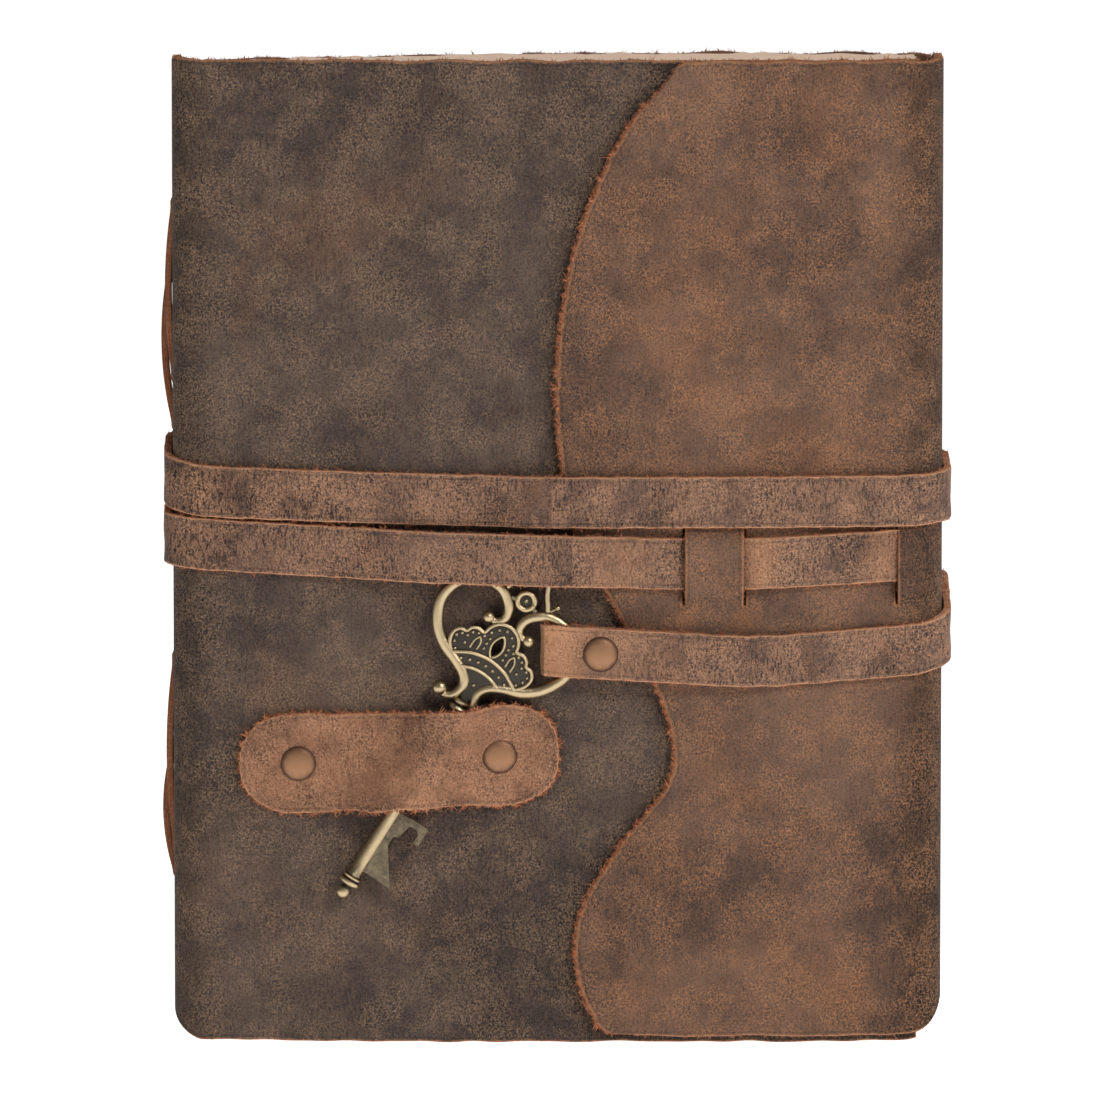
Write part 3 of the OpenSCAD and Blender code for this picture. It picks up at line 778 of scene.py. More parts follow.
def patina():
    """Darkened metal, rubbed bright where it stands proud, with tarnish spots."""
    def fill(w, given):
        cloud = w.noise(given["Place"], 0.9, 4.0, 0.65, 2.0)
        spot = w.noise(given["Place"], 4.0, 3.0, 0.6, 6.0)
        level = w.math("ADD", given["Rise"], w.math("MULTIPLY", w.math("SUBTRACT", cloud, 0.5), 0.4))
        level = w.math("ADD", level, w.math("MULTIPLY", w.math("SUBTRACT", spot, 0.5), 0.25))
        bright = w.band(level, given["From"], given["To"])
        tint = w.mix(w.band(cloud, 0.55, 0.72, 0.0, 0.35), given["Dark"], given["Tarnish"])
        shine = w.mix(bright, tint, given["Bright"])
        return {"Colour": shine, "Bright": bright, "Height": spot}
    return group("Patina",
                 {"Place": ("Vector", NOWHERE), "Rise": ("Float", 0.5), "From": ("Float", 0.2),
                  "To": ("Float", 0.8), "Bright": ("Color", GREY), "Dark": ("Color", GREY),
                  "Tarnish": ("Color", (0.05, 0.07, 0.07, 1.0))},
                 {"Colour": "Color", "Bright": "Float", "Height": "Float"}, fill)


# ---------------------------------------------------------------- materials

class Finish:
    """One material with a Principled BSDF."""

    def __init__(self, name, roughness=0.85, specular=0.25, metallic=0.0, sheen=0.0):
        self.material = bpy.data.materials.new(name)
        self.material.use_nodes = True
        self.wiring = Wiring(self.material.node_tree)
        self.shader = self.material.node_tree.nodes["Principled BSDF"]
        self.shader.inputs["Roughness"].default_value = roughness
        self.shader.inputs["Specular IOR Level"].default_value = specular
        self.shader.inputs["Metallic"].default_value = metallic
        self.shader.inputs["Sheen Weight"].default_value = sheen
        self.shader.inputs["Sheen Roughness"].default_value = 0.6
        self.place = self.wiring.attribute("tex", "Vector")
        self.edge = self.wiring.attribute("edge")
        self.rise = self.wiring.attribute("rise")

    def use(self, tree, inputs):
        """Places a shared group with its own values."""
        made = self.wiring.node("ShaderNodeGroup")
        made.node_tree = tree
        for key, value in inputs.items():
            self.wiring.join(value, made.inputs[key])
        return made.outputs

    def colour(self, value):
        self.wiring.join(value, self.shader.inputs["Base Color"])

    def bump(self, *layers):
        """Bumps from (height, depth in millimetres) pairs, one on the other."""
        normal = None
        for height, depth in layers:
            node = self.wiring.node("ShaderNodeBump", {"Height": height, "Strength": 1.0,
                                                       "Distance": depth * MM})
            if normal:
                self.wiring.join(normal, node.inputs["Normal"])
            normal = node.outputs["Normal"]
        self.wiring.join(normal, self.shader.inputs["Normal"])


def made_once(build):
    """Keeps one material for each name."""
    def find(name, *values):
        return bpy.data.materials.get(name) or build(name, *values)
    return find


@made_once
def grain_leather(name, low, high, speck, patch, warmth, amount, seed, fade=(9000, 9001)):
    """Waxed, rubbed hide for the covers and the flap. Over the places in fade it changes along
    its length to the covers' own colours, so that the flap and the back meet in one colour."""
    finish = Finish(name, roughness=0.78, specular=0.2, sheen=0.03)
    w = finish.wiring
    turn = w.band(w.node("ShaderNodeSeparateXYZ", {0: finish.place}).outputs["X"], *fade)
    low, high, speck = (w.mix(turn, tone(own), tone(shared)) for own, shared in
                        ((low, "cover_low"), (high, "cover_high"), (speck, "cover_speck")))
    clouds = finish.use(hide_clouds(), {
        "Place": finish.place, "Patch": patch, "Seed": seed, "Low": low, "High": high,
        "Warm": tone("pull_up"), "Warmth": warmth})
    # deep: the darkened hide that low rise leads to, darker wax and painted shade at the bends and beside
    # the flap
    deep = w.mix(1.0, clouds["Colour"], (0.36, 0.34, 0.33, 1), "MULTIPLY")
    toned = finish.use(rubbed(), {"Place": finish.place, "Rise": finish.rise,
                                  "Base": clouds["Colour"], "Worn": tone("pull_up"),
                                  "Dark": deep})["Colour"]
    streaks = finish.use(pull_streaks(), {"Place": finish.place, "Pace": (2.4, 0.6, 1.0)})
    bright = w.mix(0.8, toned, speck)
    toned = w.mix(w.math("MULTIPLY", streaks["Mask"], 0.22), toned, bright)
    dark = w.mix(1.0, toned, (0.33, 0.32, 0.34, 1), "MULTIPLY")
    nap = finish.use(nap_speckle(), {
        "Place": finish.place, "Size": 0.42, "Amount": amount, "Base": toned, "Light": bright,
        "Dark": dark})
    worn = finish.use(edge_wear(), {
        "Place": finish.place, "Edge": finish.edge, "Width": 0.5, "Line": 0.8, "Press": 0.3,
        "Amount": 0.85, "Base": nap["Colour"], "Dark": dark,
        "Worn": w.mix(0.4, tone("pull_up"), tone("raw_edge"))})
    finish.colour(worn["Colour"])
    grain = finish.use(pebble_grain(), {"Place": finish.place, "Size": 0.7})
    rough = w.band(nap["Height"], 0.35, 0.75, 0.9, 0.7)
    w.join(rough, finish.shader.inputs["Roughness"])
    finish.bump((grain["Height"], 0.07), (nap["Height"], 0.12))
    return finish.material


@made_once
def strap_leather(name, low, high, amount, patch):
    """Strap or keeper leather: stretched grain across its width, worn and fuzzy at its cuts."""
    finish = Finish(name, roughness=0.7, specular=0.22, sheen=0.03)
    w = finish.wiring
    clouds = finish.use(hide_clouds(), {
        "Place": finish.place, "Patch": patch, "Seed": 3.0, "Low": tone(low), "High": tone(high),
        "Warm": tone("pull_up"), "Warmth": 0.3})
    # deep: the darkened strap that low rise leads to, darker wax and painted shade towards the spine and at
    # the slit
    deep = w.mix(1.0, clouds["Colour"], (0.34, 0.32, 0.33, 1), "MULTIPLY")
    toned = finish.use(rubbed(), {"Place": finish.place, "Rise": finish.rise,
                                  "Base": clouds["Colour"], "Dark": deep,
                                  "Worn": w.mix(0.4, tone("pull_up"), tone("bright_wear"))})
    toned = toned["Colour"]
    dark = w.mix(1.0, toned, (0.30, 0.28, 0.32, 1), "MULTIPLY")
    streaks = finish.use(pull_streaks(), {"Place": finish.place, "Pace": (2.3, 0.6, 1.0)})
    bright = w.mix(0.8, toned, tone("bright_wear"))
    drawn = w.mix(w.math("MULTIPLY", streaks["Mask"], amount), toned, bright)
    nap = finish.use(nap_speckle(), {
        "Place": finish.place, "Size": 0.42, "Amount": 0.9, "Base": drawn, "Light": bright,
        "Dark": dark})
    worn = finish.use(edge_wear(), {
        "Place": finish.place, "Edge": finish.edge, "Width": 0.4, "Line": 0.9, "Press": 0.3,
        "Amount": 0.95, "Base": nap["Colour"], "Worn": tone("raw_edge"), "Dark": dark})
    finish.colour(worn["Colour"])
    grain = finish.use(pebble_grain(), {"Place": finish.place, "Size": 0.6})
    w.join(w.band(streaks["Height"], 0.3, 0.8, 0.85, 0.62), finish.shader.inputs["Roughness"])
    finish.bump((grain["Height"], 0.06), (streaks["Height"], 0.13), (nap["Height"], 0.1))
    return finish.material


@made_once
def suede(name, shade):
    """Fibrous flesh side or raw tan leather."""
    finish = Finish(name, roughness=0.95, specular=0.12, sheen=0.15)
    w = finish.wiring
    base = tone(shade)
    darker = w.mix(1.0, base, (0.55, 0.5, 0.48, 1), "MULTIPLY")
    clouds = finish.use(hide_clouds(), {
        "Place": finish.place, "Patch": 18.0, "Seed": 9.0, "Low": darker, "High": base,
        "Warm": tone("pull_up"), "Warmth": 0.35})
    nap = finish.use(nap_speckle(), {
        "Place": finish.place, "Size": 0.45, "Amount": 0.7, "Base": clouds["Colour"],
        "Light": w.mix(0.3, base, (0.6, 0.42, 0.3, 1)), "Dark": darker})
    finish.colour(nap["Colour"])
    streaks = finish.use(pull_streaks(), {"Place": finish.place, "Pace": (1.2, 2.8, 1.0)})
    finish.bump((nap["Height"], 0.14), (streaks["Height"], 0.15))
    return finish.material


@made_once
def cut_leather(name, shade):
    """The raw cut through the hide, fibrous and lighter in the middle of its thickness."""
    finish = Finish(name, roughness=0.92, specular=0.12, sheen=0.1)
    w = finish.wiring
    depth = w.node("ShaderNodeSeparateXYZ", {0: finish.place}).outputs["Z"]
    base = tone(shade)
    dark = w.mix(1.0, base, (0.42, 0.33, 0.28, 1), "MULTIPLY")
    layered = w.mix(w.band(depth, 0.9, 1.8), base, w.mix(0.6, base, dark))
    nap = finish.use(nap_speckle(), {
        "Place": finish.place, "Size": 0.42, "Amount": 0.8, "Base": layered,
        "Light": w.mix(0.35, base, (0.75, 0.52, 0.34, 1)), "Dark": dark})
    finish.colour(nap["Colour"])
    finish.bump((nap["Height"], 0.2))
    return finish.material


@made_once
def loose_fibre(name):
    """Single fibres, each a little lighter or darker than the next."""
    finish = Finish(name, roughness=0.9, specular=0.15, sheen=0.2)
    w = finish.wiring
    pick = w.noise(finish.place, 1.4, 2.0, 0.6)
    finish.colour(w.mix(w.band(pick, 0.35, 0.65),
                        w.mix(1.0, tone("fuzz"), (0.5, 0.42, 0.38, 1), "MULTIPLY"),
                        w.mix(0.4, tone("fuzz"), tone("raw_edge"))))
    finish.bump((pick, 0.03))
    return finish.material


@made_once
def handmade_paper(name):
    """Cotton paper, stained towards its torn edges."""
    finish = Finish(name, roughness=0.95, specular=0.15)
    w = finish.wiring
    pulp = finish.use(hide_clouds(), {
        "Place": finish.place, "Patch": 30.0, "Seed": 5.0, "Low": tone("paper"),
        "High": w.mix(0.4, tone("paper"), (1, 1, 1, 1)), "Warm": tone("paper_edge"),
        "Warmth": 0.12})
    stain = finish.use(edge_wear(), {
        "Place": finish.place, "Edge": finish.edge, "Width": 1.2, "Line": 30.0, "Press": 0.0,
        "Amount": 0.6, "Base": pulp["Colour"], "Worn": tone("paper_edge"),
        "Dark": tone("paper_edge")})
    finish.colour(stain["Colour"])
    grain = finish.use(pebble_grain(), {"Place": finish.place, "Size": 1.4})
    finish.bump((grain["Height"], 0.12))
    return finish.material


@made_once
def antique_metal(name, bright, dark, low, high, rough):
    """Cast metal with darkened hollows and rubbed high spots."""
    finish = Finish(name, roughness=rough, specular=0.5, metallic=1.0)
    w = finish.wiring
    aged = finish.use(patina(), {
        "Place": finish.place, "Rise": finish.rise, "From": low, "To": high,
        "Bright": tone(bright), "Dark": tone(dark)})
    finish.colour(aged["Colour"])
    w.join(w.band(aged["Bright"], 0.0, 1.0, rough + 0.22, rough), finish.shader.inputs["Roughness"])
    streaks = finish.use(pull_streaks(), {"Place": finish.place, "Pace": (3.0, 0.8, 0.6)})
    finish.bump((aged["Height"], 0.05), (streaks["Height"], 0.03))
    return finish.material


def cover_finishes():
    return [grain_leather("Cover leather", "cover_low", "cover_high", "cover_speck", 60.0, 0.12, 0.8, 0.0),
            suede("Flesh side", "flesh"), cut_leather("Cover cut", "pull_up"),
            loose_fibre("Leather fibre")]


def flap_finishes():
    return [grain_leather("Flap leather", "flap_low", "flap_high", "flap_speck", 48.0, 0.3, 0.85, 4.0,
                          (FLAP_PLACE - FLAP_START + FORE_END - 8, FLAP_PLACE - FLAP_START + FORE_END + 20)),
            suede("Flesh side", "flesh"), cut_leather("Cover cut", "pull_up"),
            loose_fibre("Leather fibre")]


def strap_finishes():
    return [strap_leather("Strap leather", "strap_low", "strap_high", 0.5, 13.0),
            suede("Flesh side", "flesh"), cut_leather("Strap cut", "raw_edge"),
            loose_fibre("Leather fibre")]


def keeper_finishes():
    return [strap_leather("Keeper leather", "keeper_low", "keeper_high", 0.35, 12.0),
            suede("Flesh side", "flesh"), cut_leather("Strap cut", "raw_edge"),
            loose_fibre("Leather fibre")]


# ---------------------------------------------------------------- the hides

def foot(x):
    """Height of the trimmed lower corners above the table."""
    trim_spine, trim_fore = 6.0, 8.0
    left = np.clip((trim_spine - HALF_W - x) / trim_spine, 0, 1)
    right = np.clip((x - HALF_W + trim_fore) / trim_fore, 0, 1)
    return (trim_spine * (1 - np.sqrt(1 - left ** 2)) + trim_fore * (1 - np.sqrt(1 - right ** 2)))


def hide_place(track, sway):
    """Where a flat place on a hide lies, at a depth under its outer face."""
    def place(u, z, depth):
        x, y, _, nx, ny = track.at(u)
        out = sway(x, z) - depth
        return np.stack([x + nx * out, y + ny * out, z], -1)
    return place


def hide_grid(track, u, rows, lift=0.0, seed=0):
    """Grid of flat places: every row bends to the cut top and bottom edges."""
    x = track.at(u)[0]
    z = rows[:, None] + np.zeros_like(u)
    bottom = foot(x) + lift + 0.12 * (1 + ripple(seed, 14, u))
    top = 0.22 * ripple(seed + 1, 17, u) + 0.06 * ripple(seed + 2, 2.5, u) - 0.25
    z = z + bottom * (1 - np.clip(z / 60, 0, 1)) + top * ease(HIDE_H - 12, HIDE_H, z)
    return z, z - z[0], z[-1] - z


def hide_fringe(form, place, u, z, seed, bottom=0.0):
    """Fibres along the top edge of a hide, and along its bottom edge where it is off the table."""
    mean = size("fringe") * 0.7
    for row, way, density in ((-1, 1.0, 5.0), (0, -1.0, bottom)):
        line = np.stack([u[row], z[row]], -1)
        out = np.tile((0.0, way), (len(line), 1))
        fringe(form, place, line, out, HIDE_T, density, mean, seed + row)


# dark and rubbed places on the back, the front cover and the flap, as painted() takes them.
# The long dark strips by the spine (x = -82) and by the fore edge (x = 76 and 82) are painted
# shade where the hide turns round the spine and the fore edge; the other spots are rubbed places
# and darker patches of the hide, except the two named below the front cover's line.
BACK_RUB_AND_SHADE = ((82, 100, 14, 400, -0.42), (-82, 100, 11, 400, -0.5), (20, 160, 30, 24, 0.1),
            (-30, 40, 30, 20, 0.08))
# on the front cover the dark spots at (-2, 186) and (-8, 60), left of the flap's edge, are painted shadow of
# the flap
COVER_RUB_AND_SHADE = ((-82, 100, 11, 400, -0.5), (-48, 168, 16, 12, 0.12), (-22, 178, 14, 10, 0.08),
             (-66, 150, 5, 20, 0.12), (-60, 75, 12, 9, 0.1), (-36, 25, 22, 14, 0.06),
             (-2, 186, 12, 30, -0.16), (-8, 60, 16, 24, -0.1))
# on the flap the dark strips at x = 76 and 82 are painted shade where it turns round the fore edge
FLAP_RUB_AND_SHADE = ((82, 100, 14, 400, -0.42), (74, 192, 5, 14, -0.2), (66, 186, 5, 16, 0.12),
            (58, 120, 14, 16, 0.14), (30, 168, 14, 14, 0.1), (20, 150, 8, 10, 0.1),
            (48, 18, 20, 12, 0.1), (25.9, 88.5, 3, 4, 0.2), (38.4, 88.5, 3, 4, 0.2),
            (69.6, 88, 2.4, 4, 0.22), (32, 98, 5, 8, -0.1), (22, 40, 8, 12, 0.08),
            (76, 60, 5, 60, -0.15))


def front_hide():
    """The spine's front half and the front cover, one hide."""
    track = Track([(-HALF_W, 0, 0), quarter(SPINE_END, SPINE_R - HALF_T, SPINE_R, 180, 270),
                   (FORE_END, -HALF_T, 0)])
    u = stations(0, track.u[-1], 1.6, False, True, np.arange(8, 22, 0.7))
    rows = stations(0, HIDE_H, 2.2)
    u = np.tile(u, (len(rows), 1))
    z, low, high = hide_grid(track, u, rows, seed=11)

    def sway(x, height):
        press = bell(-76, -2, 3, x) * bell(105, 117, 2.5, height) * -0.12
        return 0.16 * ripple(21, 46, x, height) * ease(-HALF_W, -60, x) + press
    form = Form()
    place = hide_place(track, sway)
    edge = np.minimum(np.minimum(low, high), track.u[-1] - u)
    x = track.at(u)[0]
    # painted shadow of the flap's edge: a band that darkens the cover just left of it
    flap_shadow = np.exp(-(np.clip(flap_edge_x(z) - x, 0, 60) / 5.5) ** 2)
    rise = np.clip(painted(x, z, COVER_RUB_AND_SHADE) - 0.34 * flap_shadow, 0, 1)
    sheet(form, place, u, z, edge, HIDE_T, radius=size("edge_round"), rise=rise)
    hide_fringe(form, place, u, z, 31)
    return form.build("front_hide", cover_finishes())


def back_hide():
    """Half of the fore-edge strip, the back cover and the spine's back half, one hide."""
    track = Track([(HALF_W, SEAM_Y, 0), quarter(FORE_END, HALF_T - FORE_R, FORE_R, 0, 90),
                   quarter(SPINE_END, HALF_T - SPINE_R, SPINE_R, 90, 180), (-HALF_W, 0, 0)])
    total = track.u[-1]
    u = stations(0, total, 1.8, False, False,
                 np.concatenate([np.arange(10, 24, 0.7), np.arange(total - 22, total - 8, 0.7)]))
    rows = stations(0, HIDE_H, 2.4)
    u = np.tile(u, (len(rows), 1))
    z, low, high = hide_grid(track, u, rows, seed=12)
    x = track.at(u)[0]
    behind = ease(0, 8, track.at(u)[1])     # the back stands a little lower than the front
    z = z - (0.9 + 1.1 * ease(30, -HALF_W, x)) * behind * ease(HIDE_H - 12, HIDE_H, z)
    form = Form()
    place = hide_place(track, lambda x, height: 0.18 * ripple(22, 50, x, height)
                       * (1 - ease(60, HALF_W, np.abs(x))))
    sheet(form, place, u, z, np.minimum(low, high), HIDE_T, radius=size("edge_round"),
          origin=(300, 0), rise=painted(track.at(u)[0], z, BACK_RUB_AND_SHADE))
    hide_fringe(form, place, u, z, 32)
    return form.build("back_hide", cover_finishes())


def flap_edge_x(z):
    """The flap's free edge, with the wander of a hand cut."""
    line = smooth_line(FLAP_EDGE, 10)[::-1]
    wander = 0.09 * ripple(41, 6, z) + 0.06 * ripple(42, 1.2, z)
    return np.interp(z, line[:, 1], line[:, 0]) + wander


def flap_sway(x, z):
    """The flap lifts over the strap beneath it, and is pressed down where the strap runs on it."""
    first, second, third = SLIT_X
    band = bell(94.2, 104.4, 3.0, z) * (z < SLIT_Z[1] + 2)
    lifted = np.where((x > first) & (x < second),
                      1.75 + 0.75 * (np.exp(-(x - first) / 1.2) + np.exp(-(second - x) / 1.2)), 0)
    tucked = np.where(x > third, (1.5 + 0.8 * np.exp(-(x - third) / 1.2)) * (1 - ease(71.5, 76, x)), 0)
    pressed = np.where(x <= first, ease(19, first, x), 0)
    pressed = pressed + np.where((x >= second) & (x <= third),
                                 1 - ease(second, 45, x) + ease(63, third, x), 0)
    waves = 0.22 * ripple(23, 40, x, z) * bell(10, 68, 10, x)
    dents = -0.15 * bell(0, 74, 3, x) * bell(106.5, 117, 2, z)
    curl = 0.5 * (1 - ease(0, 9, x - np.interp(z, [p[1] for p in FLAP_EDGE[::-1]],
                                               [p[0] for p in FLAP_EDGE[::-1]]))) \
        * ease(118, 150, z)
    return band * (lifted + tucked - 1.0 * pressed) + waves * 0.7 + dents + curl * 0.6


def flap_hide():
    """The other half of the fore-edge strip and the flap, with its three slits."""
    start = FLAP_START
    track = Track([(start, FLAP_Y, 0), quarter(FORE_END, FLAP_Y + FORE_R, FORE_R, -90, 0),
                   (HALF_W, SEAM_Y, 0)])
    half = size("slit_width") / 2
    fixed_x = 24.9
    near = [0, 0.1, 0.22, 0.4, 0.7, 1.1, 1.7, 2.6]
    share = np.array(near + list(np.linspace(4, fixed_x, 16))) / fixed_x
    beside = [x + side * (half + d) for x in SLIT_X for side in (-1, 1) for d in (0, 0.15, 0.4, 0.9)]
    fixed = stations(fixed_x, HALF_W, 1.4, False, False, beside)
    bend = np.arange(FORE_END - start, track.u[-1] - 0.3, 0.7)
    rows = stations(0, HIDE_H, 0.8, True, True,
                    [z + d for z in SLIT_Z for d in (-0.9, -0.3, 0, 0.3, 0.9)])
    free = flap_edge_x(rows)[:, None]
    swung = free + (fixed_x - free) * share[None, :-1]
    straight = np.tile(np.concatenate([fixed[fixed < FORE_END - 0.2] - start, bend,
                                       [track.u[-1]]]), (len(rows), 1))
    u = np.concatenate([swung - start, straight], 1)
    z, low, high = hide_grid(track, u, rows, 1.5, 13)
    x = track.at(u)[0]
    corner_wide, corner_deep = 3.0, 2.6     # the rounded corner at the top of the free edge
    nook = np.clip(1 - (u - u[:, :1]) / corner_wide, 0, 1)
    z = z - corner_deep * (1 - np.sqrt(1 - nook ** 2)) * ease(HIDE_H - 12, HIDE_H, rows)[:, None]
    edge = np.minimum(np.minimum(low, z[-1] - z), u - u[:, :1])
    for slit in SLIT_X:
        away_z = np.maximum(np.maximum(SLIT_Z[0] - z, z - SLIT_Z[1]), 0)
        edge = np.minimum(edge, np.hypot(np.maximum(np.abs(x - slit) - half, 0), away_z))
    mid_x = (u[:-1, :-1] + u[1:, 1:]) / 2 + start
    mid_z = ((rows[1:] + rows[:-1]) / 2)[:, None]
    keep = np.ones(mid_x.shape, bool)
    for slit in SLIT_X:
        keep &= ~((np.abs(mid_x - slit) < half) & (mid_z > SLIT_Z[0]) & (mid_z < SLIT_Z[1]))
    form = Form()
    lie = hide_place(track, flap_sway)
    free_u = u[:, 0]

    def place(along, height, depth):
        """The free edge is cut at a slant, so that its raw fibres show from the front."""
        fade = 0.8
        near = np.exp(-np.abs(along - np.interp(height, z[:, 0], free_u)) / fade)
        ragged = 0.4 + 0.13 * ripple(52, 1.9, height) + 0.06 * ripple(53, 5, height)
        return lie(along - ragged * depth * near, height, depth)
    sheet(form, place, u, z, edge, HIDE_T, keep, size("edge_round"), origin=(FLAP_PLACE, 0),
          rise=painted(x, z, FLAP_RUB_AND_SHADE))
    hide_fringe(form, place, u, z, 33, 4.0)
    line = np.stack([u[:, 0], z[:, 0]], -1)[3:-3]
    slope = np.gradient(line, axis=0)
    out = np.stack([-slope[:, 1], slope[:, 0]], -1)
    fringe(form, place, line, out, HIDE_T, 20.0, size("fringe") * 0.95, 51, 2.1, (FLAP_PLACE, 0))
    for k, slit in enumerate(SLIT_X):
        for side in (-1, 1):
            heights = np.linspace(SLIT_Z[0], SLIT_Z[1], 20)
            line = np.stack([np.full(20, slit + side * (half + 0.02) - start), heights], -1)
            fringe(form, place, line, np.tile((-side, 0.0), (20, 1)), HIDE_T, 4.0, 0.3, 61 + k)
    return form.build("flap_hide", flap_finishes())


class JOURNAL_OT_covers(bpy.types.Operator):
    """Make the hides of the front cover, back cover, spine, fore edge and flap"""
    bl_idname = "journal.covers"
    bl_label = "Covers and Flap"

    def execute(self, context):
        front, back, flap = front_hide(), back_hide(), flap_hide()
        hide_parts("front_cover", "spine")
        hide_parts("back_cover", "fore_edge")
        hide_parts("flap")
        frame_point(-HALF_W, SPINE_R - HALF_T)
        frame_point(SPINE_END, -HALF_T)
        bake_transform(front)
        frame_point(FORE_END, HALF_T)
        frame_point(HALF_W, HALF_T - FORE_R)
        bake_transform(back)
        frame_point(HALF_W, FLAP_Y + FORE_R)
        frame_point(FORE_END, FLAP_Y)
        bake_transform(flap)
        return {"FINISHED"}


# ---------------------------------------------------------------- the strap

def level_stops(levels, heights, outer=0.0):
    """Stops in front of the cover. levels are (x, inner face over the cover's face)."""
    return [(x, -HALF_T - level - outer, np.interp(x, *zip(*heights))) for x, level in levels]


def front_run(levels, heights, spine_z=None, fore_z=None, soften=2.2):
    """A pass over the front, from the spine's middle and to the fore edge's, where wanted."""
    stops = []
    over = CLEAR + LIFT
    if spine_z:
        stops += [(-HALF_W - CLEAR, 0, (spine_z[0] + spine_z[1]) / 2),
                  quarter(SPINE_END, SPINE_R - HALF_T, SPINE_R + CLEAR, 180, 270,
                          (spine_z[0], heights[0][1]))]
    stops += level_stops(levels, heights)
    if fore_z:
        stops += [quarter(FORE_END, FLAP_Y + FORE_R, FORE_R + CLEAR, -90, 0,
                          (heights[-1][1], fore_z[1])),
                  (HALF_W + CLEAR, SEAM_Y, (fore_z[0] + fore_z[1]) / 2)]
    return Track(stops, soften)


def back_run(levels, fore_z, spine_z):
    """A pass from the fore edge's middle round the back to the spine's middle."""
    def height(x):
        return fore_z[0] + (spine_z[1] - fore_z[0]) * (FORE_END - x) / (FORE_END - SPINE_END)
    stops = [(HALF_W + CLEAR, SEAM_Y, (fore_z[0] + fore_z[1]) / 2),
             quarter(FORE_END, HALF_T - FORE_R, FORE_R + CLEAR, 0, 90, (fore_z[0], fore_z[0]))]
    stops += [(x, HALF_T + level, height(x)) for x, level in levels]
    stops += [quarter(SPINE_END, HALF_T - SPINE_R, SPINE_R + CLEAR, 90, 180,
                      (spine_z[1], spine_z[1])),
              (-HALF_W - CLEAR, 0, (spine_z[0] + spine_z[1]) / 2)]
    return Track(stops, 2.2)


def strap_piece(name, track, start, stop, seed, cut_start=False, cut_stop=False):
    """One length of the strap, from start to stop along its track."""
    rub_and_shade = STRAP_RUB_AND_SHADE.get(name, ())
    thick = size("strap_thickness")
    half = size("strap_width") / 2
    u = stations(start, stop, 1.1, cut_start, cut_stop)
    across = stations(-half, half, 1.0)
    grid_u = np.tile(u, (len(across), 1))
    scale = across / half
    wander_top = 0.05 * ripple(seed, 9, u) + 0.025 * ripple(seed + 1, 1.4, u)
    wander_low = 0.05 * ripple(seed + 2, 9, u) + 0.025 * ripple(seed + 3, 1.5, u)
    grid_v = across[:, None] + np.where(scale > 0, scale, 0)[:, None] ** 8 * wander_top \
        + np.where(scale < 0, -scale, 0)[:, None] ** 8 * wander_low
    if cut_start:
        bow = (0.5 * (1 - scale ** 2))[:, None]
        grid_u = grid_u - bow * (1 - ease(start, start + 5, grid_u))
    edge = np.minimum(grid_v[-1] - grid_v, grid_v - grid_v[0])
    if cut_start:
        edge = np.minimum(edge, grid_u - grid_u[:, :1])
    if cut_stop:
        edge = np.minimum(edge, grid_u[:, -1:] - grid_u)

    def place(along, v, depth):
        x, y, z, nx, ny = track.at(along)
        out = thick - depth + 0.07 * ripple(seed + 4, 11, along, v) \
            + 0.035 * ripple(seed + 5, 2.2, along, v * 0.5)
        return np.stack([x + nx * out, y + ny * out, z + v], -1)
    form = Form()
    origin = (seed * 37.0, 0)
    # rise: rubbed places and painted shade from the strap's spot table
    rise = painted(track.at(grid_u)[0], grid_v, rub_and_shade)
    sheet(form, place, grid_u, grid_v, edge, thick, radius=0.22, origin=origin, rise=rise)
    for row, way, density in ((-1, 1.0, 9.0), (0, -1.0, 6.0)):
        line = np.stack([grid_u[row], grid_v[row]], -1)
        fringe(form, place, line, np.tile((0.0, way), (len(line), 1)), thick, density,
               size("fringe") * 0.62, seed + 7 + row, origin=origin)
    for wanted, column, way in ((cut_start, 0, -1.0), (cut_stop, -1, 1.0)):
        if wanted:
            line = np.stack([grid_u[:, column], grid_v[:, column]], -1)
            fringe(form, place, line, np.tile((way, 0.0), (len(line), 1)), thick, 5.0, 0.4, seed + 9,
                   origin=origin)
    return form.build(name, strap_finishes())


def fold_track():
    """The strap's end: tail behind, fold round the key's scroll, run in front and fore edge."""
    turn = (OVER_KEY - CLEAR - STRAP_T) / 2
    middle = (-3.8 + STRAP_T + turn, -HALF_T - CLEAR - STRAP_T - turn)
    lifted = LIFT + CLEAR - 0.05
    tail = level_stops([(29, lifted), (7.4, lifted), (4.2, CLEAR)], KEY_Z, STRAP_T)
    over = level_stops([(35.9, OVER_KEY), (44, LIFT + CLEAR)], KEY_Z)
    corner = quarter(FORE_END, FLAP_Y + FORE_R, FORE_R + CLEAR, -90, 0,
                     (KEY_Z[-1][1], KEY_TURN[1]))
    return Track([*tail, quarter(*middle, turn, 90, 270, (82, 82), 16), *over, corner,
                  (HALF_W + CLEAR, SEAM_Y, sum(KEY_TURN) / 2)], 0.7)


